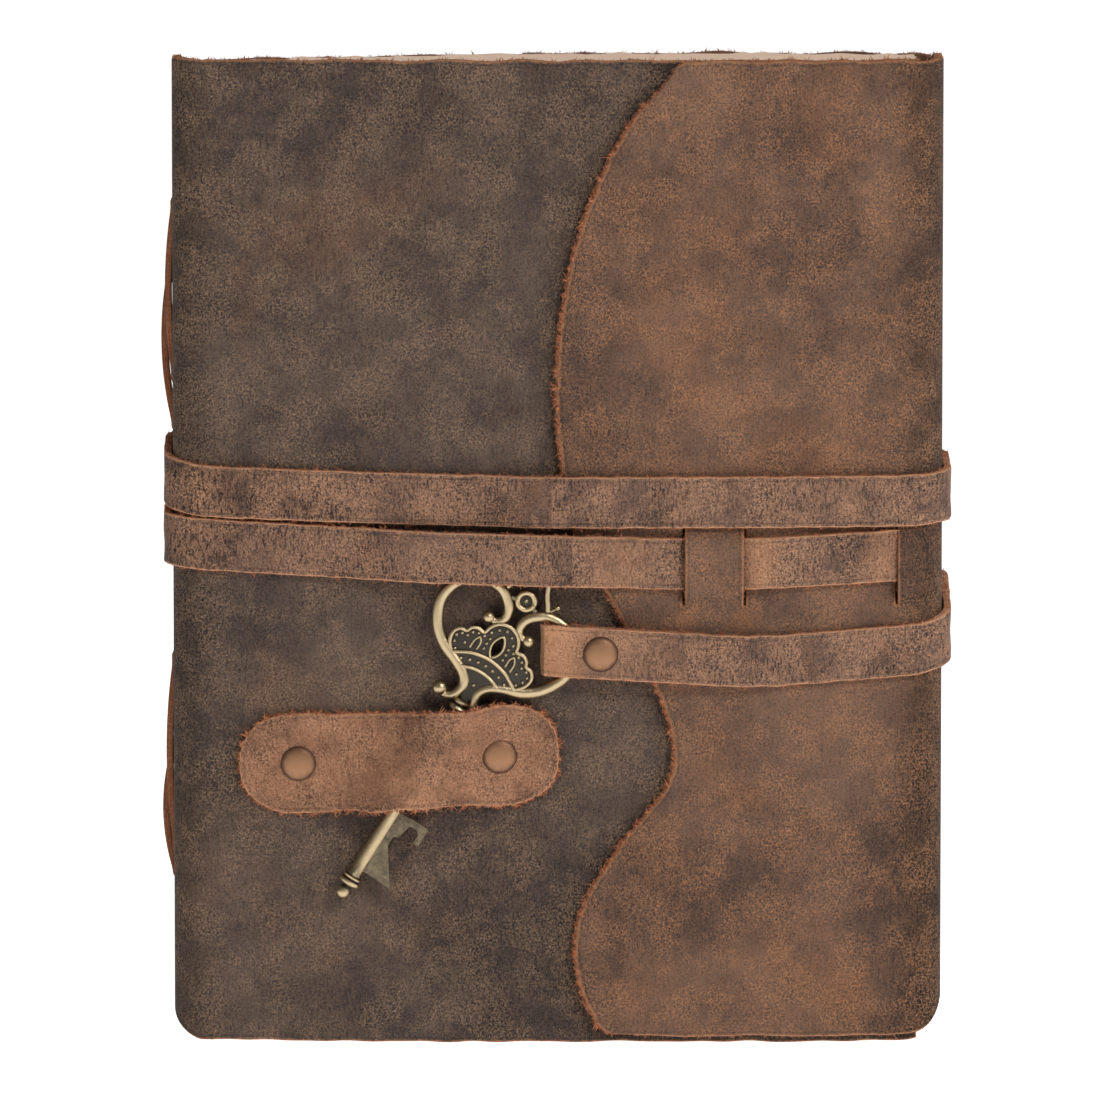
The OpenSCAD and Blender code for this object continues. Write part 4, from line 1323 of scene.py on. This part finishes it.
# worn and dark places along the strap, as painted() takes them; the height is across the strap.
# The dark spots towards the spine on the front passes are painted shade where the strap turns
# round the spine, and the dark spot at x = 26 is painted shade where it dips under the first slit.
STRAP_RUB_AND_SHADE = {
    "strap_front_upper_left": ((-82, 0, 16, 40, -0.4), (-52, 0, 22, 40, -0.24), (-30, 0, 14, 40, 0.08)),
    "strap_front_upper_right": ((40, 0, 20, 40, 0.06),),
    "strap_front_lower_left": ((-82, 0, 16, 40, -0.34), (-48, 0, 20, 40, -0.12)),
    "strap_front_lower_right": ((12, 0, 10, 40, 0.18), (26, 0, 3.5, 40, -0.3)),
    "strap_threaded": ((42, 0, 4, 40, 0.25), (66, 0, 4, 40, 0.2)),
    "strap_key_end": ((-1, 0, 8, 40, 0.34), (18, 0, 14, 40, 0.12)),
}


class JOURNAL_OT_strap(bpy.types.Operator):
    """Make the closing strap's passes round the journal"""
    bl_idname = "journal.strap"
    bl_label = "Strap"

    def execute(self, context):
        over = LIFT + CLEAR
        upper = front_run([(-12, CLEAR), (-4, over), (FORE_END, over)], UPPER_Z,
                          UPPER_TURN[:2], UPPER_TURN[2:])
        lower = front_run([(-43, CLEAR), (-26, OVER_KEY), (5, OVER_KEY), (14, LIFT + 0.1),
                           (22.3, LIFT + 0.1), (25.9, 1.25), (28, CLEAR), (33, CLEAR)], LOWER_Z,
                          LOWER_TURN, soften=0.8)
        threaded = front_run([(33.4, CLEAR), (36.3, CLEAR), (38.4, 1.25), (42, LIFT + 0.1),
                              (66, LIFT + 0.1), (69.6, 1.25), (71.7, CLEAR), (73, CLEAR)], LOWER_Z,
                             soften=0.8)
        key_end = fold_track()
        back_key = back_run([(30, CLEAR), (24, STRAP_T + 2 * CLEAR), (-65.5, STRAP_T + 2 * CLEAR),
                             (-71.5, CLEAR)], KEY_TURN, UPPER_TURN[:2])
        back_upper = back_run([], UPPER_TURN[2:], LOWER_TURN)
        meet = upper.where(-1)
        cross = lower.where(3)
        swap = key_end.where(50)
        pieces = (
            ("strap_front_upper_left", upper, 0, meet, ("strap_left_upper", "strap_spine_bends"),
             ("book", "front_panel")),
            ("strap_front_upper_right", upper, meet, upper.u[-1],
             ("strap_right_upper", "strap_flap_bends"), ("fore_edge_panel", "flap_panel")),
            ("strap_front_lower_left", lower, 0, cross, ("strap_left_lower",),
             ("book", "front_panel")),
            ("strap_front_lower_right", lower, cross, lower.u[-1], ("strap_right_lower",),
             ("flap_panel",)),
            ("strap_threaded", threaded, 0, threaded.u[-1], ("strap_threaded_end",),
             ("flap_panel",)),
            ("strap_key_end", key_end, 0, swap, ("strap_key_loop",), ("flap_panel", "key_and_loop")),
            ("strap_key_pass", key_end, swap, key_end.u[-1], ("strap_key_run",),
             ("fore_edge_panel", "flap_panel")),
            ("strap_back_key_pass", back_key, 0, back_key.u[-1],
             ("strap_back_lower", "strap_spine_upper", "strap_fore_edge_key",
              "strap_fore_edge_bends"), ("book", "fore_edge_panel")),
            ("strap_back_upper_pass", back_upper, 0, back_upper.u[-1],
             ("strap_back_upper", "strap_spine_lower", "strap_fore_edge_upper"),
             ("book", "fore_edge_panel")),
        )
        spans = {
            ("book", "front_panel"): ((-HALF_W, SPINE_R - HALF_T), (SPINE_END, -HALF_T)),
            ("fore_edge_panel", "flap_panel"): ((HALF_W, FLAP_Y + FORE_R), (FORE_END, FLAP_Y)),
            ("book", "fore_edge_panel"): ((FORE_END, HALF_T), (HALF_W, HALF_T - FORE_R)),
            ("flap_panel", "key_and_loop"): ((50, FLAP_Y), (36, FLAP_Y)),
        }
        for number, (name, track, start, stop, nodes, bodies) in enumerate(pieces):
            cut_start = name in ("strap_key_end", "strap_threaded")
            cut_stop = name in ("strap_threaded", "strap_front_lower_right")
            piece = strap_piece(name, track, start, stop, 101 + 10 * number, cut_start, cut_stop)
            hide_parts(*nodes)
            if len(bodies) == 1:
                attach(piece, bodies[0])
            else:
                first, last = spans[bodies]
                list(bodies)
                frame_point(*first)
                frame_point(*last)
                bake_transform(piece)
        return {"FINISHED"}


# ---------------------------------------------------------------- keeper and rivets

def keeper_place(u, v, depth):
    """The keeper's flat places: it arches over the key and is drawn down by its rivets."""
    lean = KEEPER_LEAN
    x = KEEPER_AT[0] + u * math.cos(lean) - v * math.sin(lean)
    z = KEEPER_AT[1] + u * math.sin(lean) + v * math.cos(lean)
    tilt = math.radians(KEY_LEAN)
    off = (x - KEY_TIP[0]) * math.cos(tilt) - (z - KEY_TIP[1]) * math.sin(tilt)
    along = (x - KEY_TIP[0]) * math.sin(tilt) + (z - KEY_TIP[1]) * math.cos(tilt)
    curls = ease(37, 43, along)             # wider and higher where the bow's curls slide under
    peak = 4.75 + 0.45 * curls
    reach = 6.6 + 2.6 * curls
    arch = peak * np.exp(-(np.abs(off) / reach) ** 3.0) + 0.9 * np.exp(-(off / 12.0) ** 2)
    hold = sum(np.exp(-((u - spot) ** 2 + v ** 2) / 30.0) for spot in KEEPER_RIVETS)
    arch = arch * (1 - np.clip(hold, 0, 1)) - 0.12 * np.clip(hold, 0, 1)
    fall = 0.18 * ripple(71, 12, u, v)
    out = 0.1 + np.maximum(arch + fall, 0.0) + STRAP_T - depth
    return np.stack([x, -HALF_T - out, z], -1)


def keeper_outline(t):
    """Outline by the share t of the way round: the middle line's place, direction and radius."""
    radius = size("keeper_height") / 2
    reach = size("keeper_length") / 2 - radius
    runs = np.array([2 * reach, math.pi * radius, 2 * reach, math.pi * radius])
    ends = np.concatenate([[0], np.cumsum(runs)])
    s = t * ends[-1]
    along = np.interp(s, [0, ends[1], ends[2], ends[3], ends[4]],
                      [-reach, reach, reach, -reach, -reach])
    turn = np.interp(s, [0, ends[1], ends[2], ends[3], ends[4]], [-90, -90, 90, 90, 270])
    angle = np.radians(turn)
    waist = 0.45 * np.cos(np.clip(along / reach, -1, 1) * math.pi / 2) ** 2
    swell = 0.55 * np.exp(-((along - reach) / 7) ** 2) * (np.sin(angle) > 0.3) * np.sin(angle)
    wander = 0.12 * ripple(72, 13, s) + 0.11 * ripple(73, 1.6, s)
    wander = wander * np.minimum(1, np.minimum(s, ends[-1] - s) / 3)
    return along, angle, radius - waist + swell + wander


class JOURNAL_OT_keeper(bpy.types.Operator):
    """Make the keeper that holds the key, with its fuzzy cut edge"""
    bl_idname = "journal.keeper"
    bl_label = "Keeper"

    def execute(self, context):
        around = np.linspace(0, 1, 321)
        along, angle, radius = keeper_outline(around)
        inset = np.array([0, 0.1, 0.22, 0.4, 0.65, 0.95, 1.3, 1.8, 2.5, 3.4, 4.4, 5.4, 6.4, 7.4, 8.4,
                          9.3, 100])
        depth = np.minimum(inset[::-1, None] + 0 * radius, radius)
        reach = radius - depth
        u = along + np.cos(angle) * reach
        v = np.sin(angle) * reach
        form = Form()
        sheet(form, keeper_place, u, v, depth, STRAP_T, radius=0.4, origin=(0, 500))
        line = np.stack([u[-1], v[-1]], -1)
        out = np.stack([np.cos(angle), np.sin(angle)], -1)
        fringe(form, keeper_place, line, out, STRAP_T, 16.0, size("fringe") * 0.9, 81, 1.4,
               (0, 500))
        piece = form.build("keeper_leather", keeper_finishes())
        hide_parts("keeper")
        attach(piece, "front_panel")
        return {"FINISHED"}


def rivet_metal():
    return [antique_metal("Rivet metal", "cap", "cap_dark", 0.3, 0.95, 0.42)]


def rivet_spot(x, level, height):
    """Maps a turned shape so that it faces -Y at a place over the front cover."""
    def place(points):
        return np.stack([x + points[:, 0], -HALF_T - level - points[:, 1],
                         height + points[:, 2]], -1)
    return place


def cap_profile():
    """A shallow pressed dome with a rolled rim."""
    radius = size("cap_width") / 2
    rim = [(0.0, 0.0), (radius - 0.35, 0.0), (radius - 0.08, 0.08), (radius, 0.22),
           (radius - 0.06, 0.36), (radius - 0.22, 0.46)]
    dome = [((radius - 0.4) * math.cos(a), 0.46 + 0.54 * math.sin(a))
            for a in np.radians((8, 20, 35, 50, 65, 80, 90))]
    return rim + dome


def keeper_spot(x):
    lean = KEEPER_LEAN
    return KEEPER_AT[0] + x * math.cos(lean), KEEPER_AT[1] + x * math.sin(lean)


class JOURNAL_OT_rivets(bpy.types.Operator):
    """Make the rivet caps and the posts behind them"""
    bl_idname = "journal.rivets"
    bl_label = "Rivets"

    def execute(self, context):
        caps, posts = Form(), Form()
        back = HIDE_T + 0.05
        for x in KEEPER_RIVETS:
            at_x, at_z = keeper_spot(x)
            lathe(caps, cap_profile(), rivet_spot(at_x, STRAP_T + 0.02, at_z), 40)
            lathe(posts, [(0, 0), (2.9, 0), (3.05, 0.15), (3.05, 0.55), (2.9, 0.75), (1.5, 0.85),
                          (1.5, back + STRAP_T + 0.3), (0, back + STRAP_T + 0.3)],
                  rivet_spot(at_x, -back - 0.8, at_z), 24)
        keeper_caps = caps.build("keeper_caps", rivet_metal())
        keeper_posts = posts.build("keeper_posts", rivet_metal())
        height = np.interp(STRAP_RIVET_X, *zip(*KEY_Z))
        cap, post = Form(), Form()
        lathe(cap, cap_profile(), rivet_spot(STRAP_RIVET_X, OVER_KEY + STRAP_T - 0.05, height), 40)
        lathe(post, [(0, 0), (1.7, 0), (1.8, 0.12), (1.8, 0.3), (1.4, 0.4), (1.4, 3.4), (0, 3.4)],
              rivet_spot(STRAP_RIVET_X, LIFT + CLEAR - 0.35, height), 24)
        strap_cap = cap.build("strap_cap", rivet_metal())
        strap_post = post.build("strap_post", rivet_metal())
        for piece, node, body in ((keeper_caps, "keeper_rivet_caps", "front_panel"),
                                  (keeper_posts, "keeper_rivet_posts", "front_panel"),
                                  (strap_cap, "strap_rivet_cap", "key_and_loop"),
                                  (strap_post, "strap_rivet_post", "key_and_loop")):
            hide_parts(node)
            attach(piece, body)
        return {"FINISHED"}


# ---------------------------------------------------------------- thongs and pages

THONGS = (("thong_upper_front", -5.5, 135, 174.5, 1.7), ("thong_upper_back", 5.5, 124, 164.4, 2.7),
          ("thong_lower_front", -5.5, 37.5, 80.6, 1.7), ("thong_lower_back", 5.5, 31, 62, 2.7))


class JOURNAL_OT_thongs(bpy.types.Operator):
    """Make the four lacing thongs that bow out of the spine"""
    bl_idname = "journal.thongs"
    bl_label = "Lacing Thongs"

    def execute(self, context):
        wide, thick = 5.0, 1.4
        finishes = [suede("Thong leather", "thong"), suede("Thong leather", "thong"),
                    cut_leather("Thong cut", "thong"), loose_fibre("Leather fibre")]
        for number, (name, y, low, high, bow) in enumerate(THONGS):
            leg = [(-HALF_W + HIDE_T + 0.2, low + thick), (-HALF_W - 0.2, low + 0.5)]
            t = np.linspace(0.08, 0.92, 15)
            arch = [(-HALF_W - 4 * bow * s * (1 - s) + 0.1, low + (high - low) * s) for s in t]
            back = [(-HALF_W - 0.2, high - 0.5), (-HALF_W + HIDE_T + 0.2, high - thick)]
            line = smooth_line(leg + arch + back, 5)
            run = np.concatenate([[0], np.cumsum(np.linalg.norm(np.diff(line, axis=0), axis=1))])
            way = np.gradient(line, axis=0)
            way /= np.linalg.norm(way, axis=1)[:, None]

            def place(u, v, depth, line=line, run=run, way=way, y=y):
                x, z, dx, dz = (np.interp(u, run, c) for c in (*line.T, *way.T))
                out = -depth
                return np.stack([x - dz * out, y + v, z + dx * out], -1)
            u, v = np.meshgrid(stations(0, run[-1], 1.2), stations(-wide / 2, wide / 2, 0.9))
            v = v + 0.12 * ripple(91 + number, 6, u) * np.sign(v) * (np.abs(v) / wide * 2) ** 4
            edge = np.minimum(np.minimum(v[-1] - v, v - v[0]), np.minimum(u, run[-1] - u))
            form = Form()
            sheet(form, place, u, v, edge, thick, radius=0.35, origin=(0, number * 50.0))
            for row, side in ((0, -1.0), (-1, 1.0)):
                rim = np.stack([u[row], v[row]], -1)
                fringe(form, place, rim, np.tile((0.0, side), (len(rim), 1)), thick, 2.5, 0.35,
                       95 + number + row)
            piece = form.build("lacing_" + name, finishes)
            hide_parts(name)
            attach(piece, "book")
        return {"FINISHED"}


class JOURNAL_OT_pages(bpy.types.Operator):
    """Make the gatherings of folded handmade paper"""
    bl_idname = "journal.pages"
    bl_label = "Pages"

    def execute(self, context):
        finish = [handmade_paper("Handmade paper")] * 3
        sheets = context.scene.journal_sizes.leaves
        for number in range(1, SIGNATURES + 1):
            low, high = box_mm(f"signature_{number}")
            middle_y = (low[1] + high[1]) / 2 - SHIFT[1]
            thick = high[1] - low[1]
            fold_x, fore_x = low[0] - SHIFT[0], high[0] - SHIFT[0]
            share = thick / (2 * sheets)
            form = Form()
            for leaf in range(sheets):
                seed = 200 + number * 10 + leaf
                outer = thick / 2 - leaf * share
                paper = share * 0.9
                nose = fold_x + thick / 2
                track = Track([(fore_x, middle_y + outer, 0),
                               quarter(nose, middle_y, outer, 90, 270, steps=9),
                               (fore_x, middle_y - outer, 0)])
                u = stations(0, track.u[-1], 5.0, False, False,
                             np.linspace(fore_x - nose - 1, track.u[-1] - (fore_x - nose) + 1, 8))
                rows = stations(0, PAGE_H, 6.0, False, False, [1, 3, PAGE_H - 3, PAGE_H - 1])
                u = np.tile(u, (len(rows), 1))
                z = rows[:, None] + 0 * u
                torn = size("deckle")
                x = track.at(u)[0]
                rise_z = ease(PAGE_H - 8, PAGE_H, z)
                z = z - rise_z * torn * (0.45 + 0.3 * ripple(seed, 9, u) + 0.15 * ripple(seed + 1, 3.3, u))
                z = z + rise_z * (0.55 - 1.1 * ease(10, -HALF_W, x))
                fall = torn * (0.6 + 0.35 * ripple(seed + 2, 12, z)) * ease(fore_x - 12, fore_x, x)
                first = u[:, :1] + fall[:, :1]
                last = u[:, -1:] - fall[:, -1:]
                u = first + (u - u[:, :1]) * (last - first) / (u[:, -1:] - u[:, :1])
                edge = np.minimum(np.minimum(z - z[0], z[-1] - z), np.minimum(u - u[:, :1],
                                                                             u[:, -1:] - u))

                def place(along, up, depth, track=track):
                    x, y, _, nx, ny = track.at(along)
                    wave = 0.12 * ripple(25, 34, x, up) * ease(-60, 10, x)
                    return np.stack([x - nx * depth, y - ny * depth + wave, up + PAGE_Z], -1)
                sheet(form, place, u, z, edge, paper, radius=0.05, layers=1,
                      origin=(0, leaf * 300 + number * 70))
            piece = form.build(f"gathering_{number}", finish)
            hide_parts(f"signature_{number}")
            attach(piece, "book")
        return {"FINISHED"}


# ---------------------------------------------------------------- the key

BAR = 0.82                                  # radius of the bow's round bars
# left scroll from its lower curl, out and over to its inner curl, as (across, along)
SCROLL = [(-5.4, 46.4), (-4.3, 45.9), (-3.0, 46.3), (-2.0, 47.7), (-1.8, 49.7), (-3.0, 51.5),
          (-5.6, 53.0), (-9.8, 54.8), (-13.1, 57.8), (-15.1, 62.5), (-13.9, 67.3), (-10.2, 70.4),
          (-5.7, 70.6), (-2.5, 68.3), (-1.8, 65.6), (-3.0, 64.2), (-4.5, 64.2)]
CROWN_SIDE = [(7.5, 54.2), (9.0, 55.9), (9.4, 57.8), (8.6, 59.2), (7.2, 59.5), (6.6, 60.6),
              (5.4, 61.2), (3.9, 61.1), (3.4, 62.6), (2.2, 64.1), (0, 64.8)]
LOWER_RIDGE = [(-4.6, 52.6), (-2.4, 53.4), (0, 53.7), (2.4, 53.4), (4.6, 52.6)]
UPPER_RIDGE = [(-7.5, 54.2), (-4.0, 56.1), (0, 56.8), (4.0, 56.1), (7.5, 54.2)]
BIT = [(0.0, 5.2), (1.9, 5.8), (7.9, 5.6), (2.7, 13.1), (2.7, 15.1), (3.8, 16.0), (4.4, 18.8),
       (6.0, 18.9), (6.7, 18.2), (6.6, 16.2), (8.1, 16.2), (8.1, 20.1), (7.7, 20.4), (0.0, 20.4)]


def key_place(points):
    """Puts points of the key's own frame (across, out of the cover, along) in the journal."""
    lean = math.radians(KEY_LEAN)
    across, out, along = points[:, 0], points[:, 1], points[:, 2]
    return np.stack([KEY_TIP[0] + across * math.cos(lean) + along * math.sin(lean),
                     -HALF_T - KEY_LEVEL - out,
                     KEY_TIP[1] - across * math.sin(lean) + along * math.cos(lean)], -1)


def wire(form, line, radius, level=0.0, closed=False, steps=8, rise=1.0, sides=10):
    """A round raised rim or bar along (across, along) points at a level over the key's middle."""
    curve = smooth_line(line, steps, closed)
    if closed:
        curve = np.concatenate([curve, curve[:2]])
    spine = np.stack([curve[:, 0], np.full(len(curve), level), curve[:, 1]], -1)
    tube(form, spine, radius, key_place, sides, rise)


def mirrored(line):
    return [(-a, b) for a, b in line]


def crown_outline():
    """The whole outline, from the lower left round the top to the lower right."""
    return mirrored(CROWN_SIDE)[:-1] + CROWN_SIDE[::-1]


def key_shaft(form):
    """Ball tip, neck, collar, shaft and upper collar, turned as one."""
    radius = 1.45
    profile = [(0.0, -1.45), (0.7, -1.3), (1.2, -0.8), (1.4, -0.1), (1.25, 0.7), (0.9, 1.3),
               (0.85, 1.6), (1.6, 1.75), (2.25, 2.0), (2.45, 2.4), (2.3, 2.8), (1.75, 3.0),
               (1.7, 3.15), (2.05, 3.35), (2.1, 3.7), (1.7, 3.95), (radius, 4.2), (radius, 8.0),
               (radius, 24.0), (radius, 43.8), (1.8, 44.1), (2.2, 44.5), (2.2, 45.0), (1.8, 45.4),
               (1.5, 45.6), (1.9, 46.0), (1.9, 46.5), (1.2, 46.9), (0.0, 47.0)]
    levels = [0.8, 0.85, 0.95, 1.0, 0.7, 0.2, 0.2, 0.7, 1.0, 1.0, 0.9, 0.2, 0.2, 0.9, 0.9, 0.3, 0.7,
              0.86, 0.86, 0.8, 0.7, 1.0, 1.0, 0.5, 0.2, 0.9, 0.9, 0.5, 0.3]
    lathe(form, profile, lambda p: key_place(p[:, (0, 2, 1)] * (1, -1, 1)), 28, levels)


def key_bit(form):
    """The flat bit with its hook and its fin."""
    plate(form, [BIT], 1.7, 0.22, key_place, rise=0.52)


def key_crown(form):
    """The crown on the bow: a sunk field with beads, raised rims, ridges and windows."""
    outline = crown_outline()
    field = smooth_line(outline, 5)
    drop = smooth_line([(0, 57.4), (1.0, 58.6), (1.25, 60.2), (0.7, 61.7), (0, 62.3),
                        (-0.7, 61.7), (-1.25, 60.2), (-1.0, 58.6)], 4, True)
    base = [(x, z) for x, z in field] + [(4.6, 52.4), (1.9, 48.6), (0, 45.8), (-1.9, 48.6), (-4.6, 52.4)]
    plate(form, [base, [tuple(p) for p in drop]], 1.5, 0.2, key_place, rise=0.3)
    wire(form, outline, 0.42, 0.82, steps=6)
    wire(form, LOWER_RIDGE, 0.42, 0.82)
    wire(form, UPPER_RIDGE, 0.45, 0.84)
    wire(form, drop[::3], 0.3, 0.85, True, 3)
    for side in (-1, 1):
        arch = [(3.45, 57.4), (3.45, 58.9), (4.1, 59.8), (4.8, 58.7), (4.85, 57.0)]
        wire(form, [(side * a, b) for a, b in arch], 0.26, 0.8, steps=4, rise=0.85)
        wire(form, [(side * 4.15, 57.5), (side * 4.15, 58.9)], 0.3, 0.62, steps=2, rise=0.2)
        wire(form, [(side * 1.7, 49.0), (side * 3.3, 51.4), (side * 5.9, 53.6)], 0.5, 0.5, steps=5,
             rise=0.7)
    for k in range(7):
        t = (k - 3) / 3
        ball(form, (t * 5.2, 0.82, 55.3 - 1.25 * t * t), 0.4, key_place, rise=0.85, sides=10)
    beads = [(7.3, 55.2), (8.2, 56.4), (8.5, 57.7), (7.7, 58.6), (6.5, 58.8), (6.2, 57.2), (5.9, 59.9),
             (2.3, 58.2), (2.3, 59.4), (2.2, 60.6), (2.6, 61.8), (1.5, 63.1), (3.5, 60.5), (4.8, 60.4)]
    for side in (-1, 1):
        for across, along in beads:
            ball(form, (side * across, 0.8, along), 0.38, key_place, rise=0.8, sides=10)
    ball(form, (0, 0.8, 63.7), 0.38, key_place, rise=0.8, sides=10)
    ball(form, (0, 0.85, 50.6), 0.42, key_place, rise=0.8, sides=10)


def key_scrolls(form):
    """The two round scrolls, each from a small curl with a ball end to another."""
    for side in (-1, 1):
        line = [(side * -a, b) for a, b in SCROLL]
        curve = smooth_line(line, 8)
        spine = np.stack([curve[:, 0], np.zeros(len(curve)), curve[:, 1]], -1)
        share = np.linspace(0, 1, len(curve))
        radii = 0.8 + (BAR + 0.42 - 0.8) * bell(0.3, 0.72, 0.3, share)
        tube(form, spine, radii, key_place, 14, 0.95)
        ball(form, (side * 5.6, 0.1, 46.5), 1.6, key_place, rise=0.95, sides=18)
        ball(form, (side * 4.8, 0.1, 64.2), 1.35, key_place, rise=0.95, sides=16)


def key_top(form):
    """The small ring between the scrolls and the pointed loop over it."""
    angles = np.radians(np.arange(0, 360, 30))
    hoop = [(1.75 * math.cos(a), 71.0 + 1.75 * math.sin(a)) for a in angles]
    wire(form, hoop, 0.62, 0.35, True, 4, 0.95)
    lathe(form, [(0, -0.7), (1.9, -0.7), (1.9, 0.1), (0.9, 0.25), (0, 0.3)],
          lambda p: key_place(p + np.array((0, 0, 71.0))), 20, [0, 0.1, 0.1, 0.1, 0.2])
    ball(form, (0, 0.1, 71.0), 0.62, key_place, rise=0.7, sides=10)
    for side in (-1, 1):
        wire(form, [(side * 5.4, 70.3), (side * 4.4, 72.4), (side * 2.9, 74.6), (side * 1.4, 78.2),
                    (0, 81.0)], 0.62, 0.0, rise=0.9)
        wire(form, [(side * 1.9, 70.4), (side * 3.2, 70.0), (side * 5.0, 70.6)], 0.6, 0.0, rise=0.6)
        ball(form, (side * 6.3, 0.2, 73.2), 0.62, key_place, rise=1.0, sides=12)
        wire(form, [(side * 5.0, 71.2), (side * 6.2, 73.0)], 0.35, 0.1, steps=3, rise=0.8)


class JOURNAL_OT_key(bpy.types.Operator):
    """Make the cast key: turned shaft, bit, scrolls and crown"""
    bl_idname = "journal.key"
    bl_label = "Key"

    def execute(self, context):
        form = Form()
        for build in (key_shaft, key_bit, key_crown, key_scrolls, key_top):
            build(form)
        piece = form.build("bronze_key", [antique_metal("Key metal", "bronze", "bronze_dark",
                                                        0.34, 0.95, 0.3)], 50)
        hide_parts("key")
        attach(piece, "key_and_loop")
        return {"FINISHED"}


# ---------------------------------------------------------------- stage

class JOURNAL_OT_stage(bpy.types.Operator):
    """Make the pale floor, the soft lights and the camera"""
    bl_idname = "journal.stage"
    bl_label = "Floor, Lights and Camera"

    def execute(self, context):
        scene = context.scene
        scene.view_settings.view_transform = "Standard"
        self.floor()
        self.world(scene)
        aim = Vector(frame_point(-1.5, -HALF_T, 102.2))
        self.light("key light", (0.75, -1.05, 0.95), aim, 12.0, 0.4)
        self.light("fill light", (-1.0, -1.3, 0.5), aim, 0.8, 1.0)
        self.light("top light", (0.1, 0.5, 1.4), aim, 4.5, 1.0)
        self.camera(scene, aim)
        return {"FINISHED"}

    def floor(self):
        far = 8.0
        mesh = bpy.data.meshes.new("floor")
        mesh.from_pydata([(-far, -far, 0), (far, -far, 0), (far, far, 0), (-far, far, 0)], [],
                         [(0, 1, 2, 3)])
        material = bpy.data.materials.new("Pale floor")
        material.use_nodes = True
        shader = material.node_tree.nodes["Principled BSDF"]
        shader.inputs["Base Color"].default_value = (0.85, 0.85, 0.85, 1)
        shader.inputs["Roughness"].default_value = 0.9
        shader.inputs["Specular IOR Level"].default_value = 0.1
        shader.inputs["Emission Color"].default_value = (1, 1, 1, 1)
        shader.inputs["Emission Strength"].default_value = 0.93
        mesh.materials.append(material)
        floor = bpy.data.objects.new("floor", mesh)
        bpy.context.scene.collection.objects.link(floor)

    def world(self, scene):
        scene.world = bpy.data.worlds.new("Studio")
        scene.world.use_nodes = True
        sky = scene.world.node_tree.nodes["Background"]
        sky.inputs["Color"].default_value = (1, 1, 1, 1)
        sky.inputs["Strength"].default_value = 0.12

    def light(self, name, place, aim, power, wide):
        data = bpy.data.lights.new(name, "AREA")
        data.energy = power
        data.size = wide
        lamp = bpy.data.objects.new(name, data)
        lamp.location = place
        lamp.rotation_euler = (aim - Vector(place)).to_track_quat("-Z", "Y").to_euler()
        bpy.context.scene.collection.objects.link(lamp)

    def camera(self, scene, aim):
        data = bpy.data.cameras.new("camera")
        away, tilt, view_width = 2.6, math.radians(7), 0.2255
        data.sensor_width = 36.0
        data.lens = 36.0 * away / view_width
        data.clip_end = 30.0
        camera = bpy.data.objects.new("camera", data)
        camera.location = aim + Vector((0, -away * math.cos(tilt), away * math.sin(tilt)))
        camera.rotation_euler = (aim - camera.location).to_track_quat("-Z", "Y").to_euler()
        scene.collection.objects.link(camera)
        scene.camera = camera


# ---------------------------------------------------------------- panel and run

PIECES = (JOURNAL_OT_stage, JOURNAL_OT_covers, JOURNAL_OT_pages, JOURNAL_OT_thongs,
          JOURNAL_OT_strap, JOURNAL_OT_keeper, JOURNAL_OT_rivets, JOURNAL_OT_key)


class JOURNAL_PT_panel(bpy.types.Panel):
    """Lists the journal's pieces, sizes and colours"""
    bl_idname = "JOURNAL_PT_panel"
    bl_label = "Leather Journal"
    bl_space_type = "VIEW_3D"
    bl_region_type = "UI"
    bl_category = "Journal"

    def draw(self, context):
        for operator in PIECES:
            self.layout.operator(operator.bl_idname)
        for values in (context.scene.journal_sizes, context.scene.journal_colours):
            column = self.layout.column()
            for name in values.bl_rna.properties.keys():
                if name not in ("rna_type", "name"):
                    column.prop(values, name)


CLASSES = (JournalSizes, JournalColours, *PIECES, JOURNAL_PT_panel)


def register():
    for cls in CLASSES:
        bpy.utils.register_class(cls)
    bpy.types.Scene.journal_sizes = PointerProperty(type=JournalSizes)
    bpy.types.Scene.journal_colours = PointerProperty(type=JournalColours)


def unregister():
    del bpy.types.Scene.journal_sizes
    del bpy.types.Scene.journal_colours
    for cls in reversed(CLASSES):
        bpy.utils.unregister_class(cls)


def main():
    """Builds every piece and the stage."""
    register()
    for operator in PIECES:
        group_name, name = operator.bl_idname.split(".")
        getattr(getattr(bpy.ops, group_name), name)()


if __name__ == "__main__":
    main()
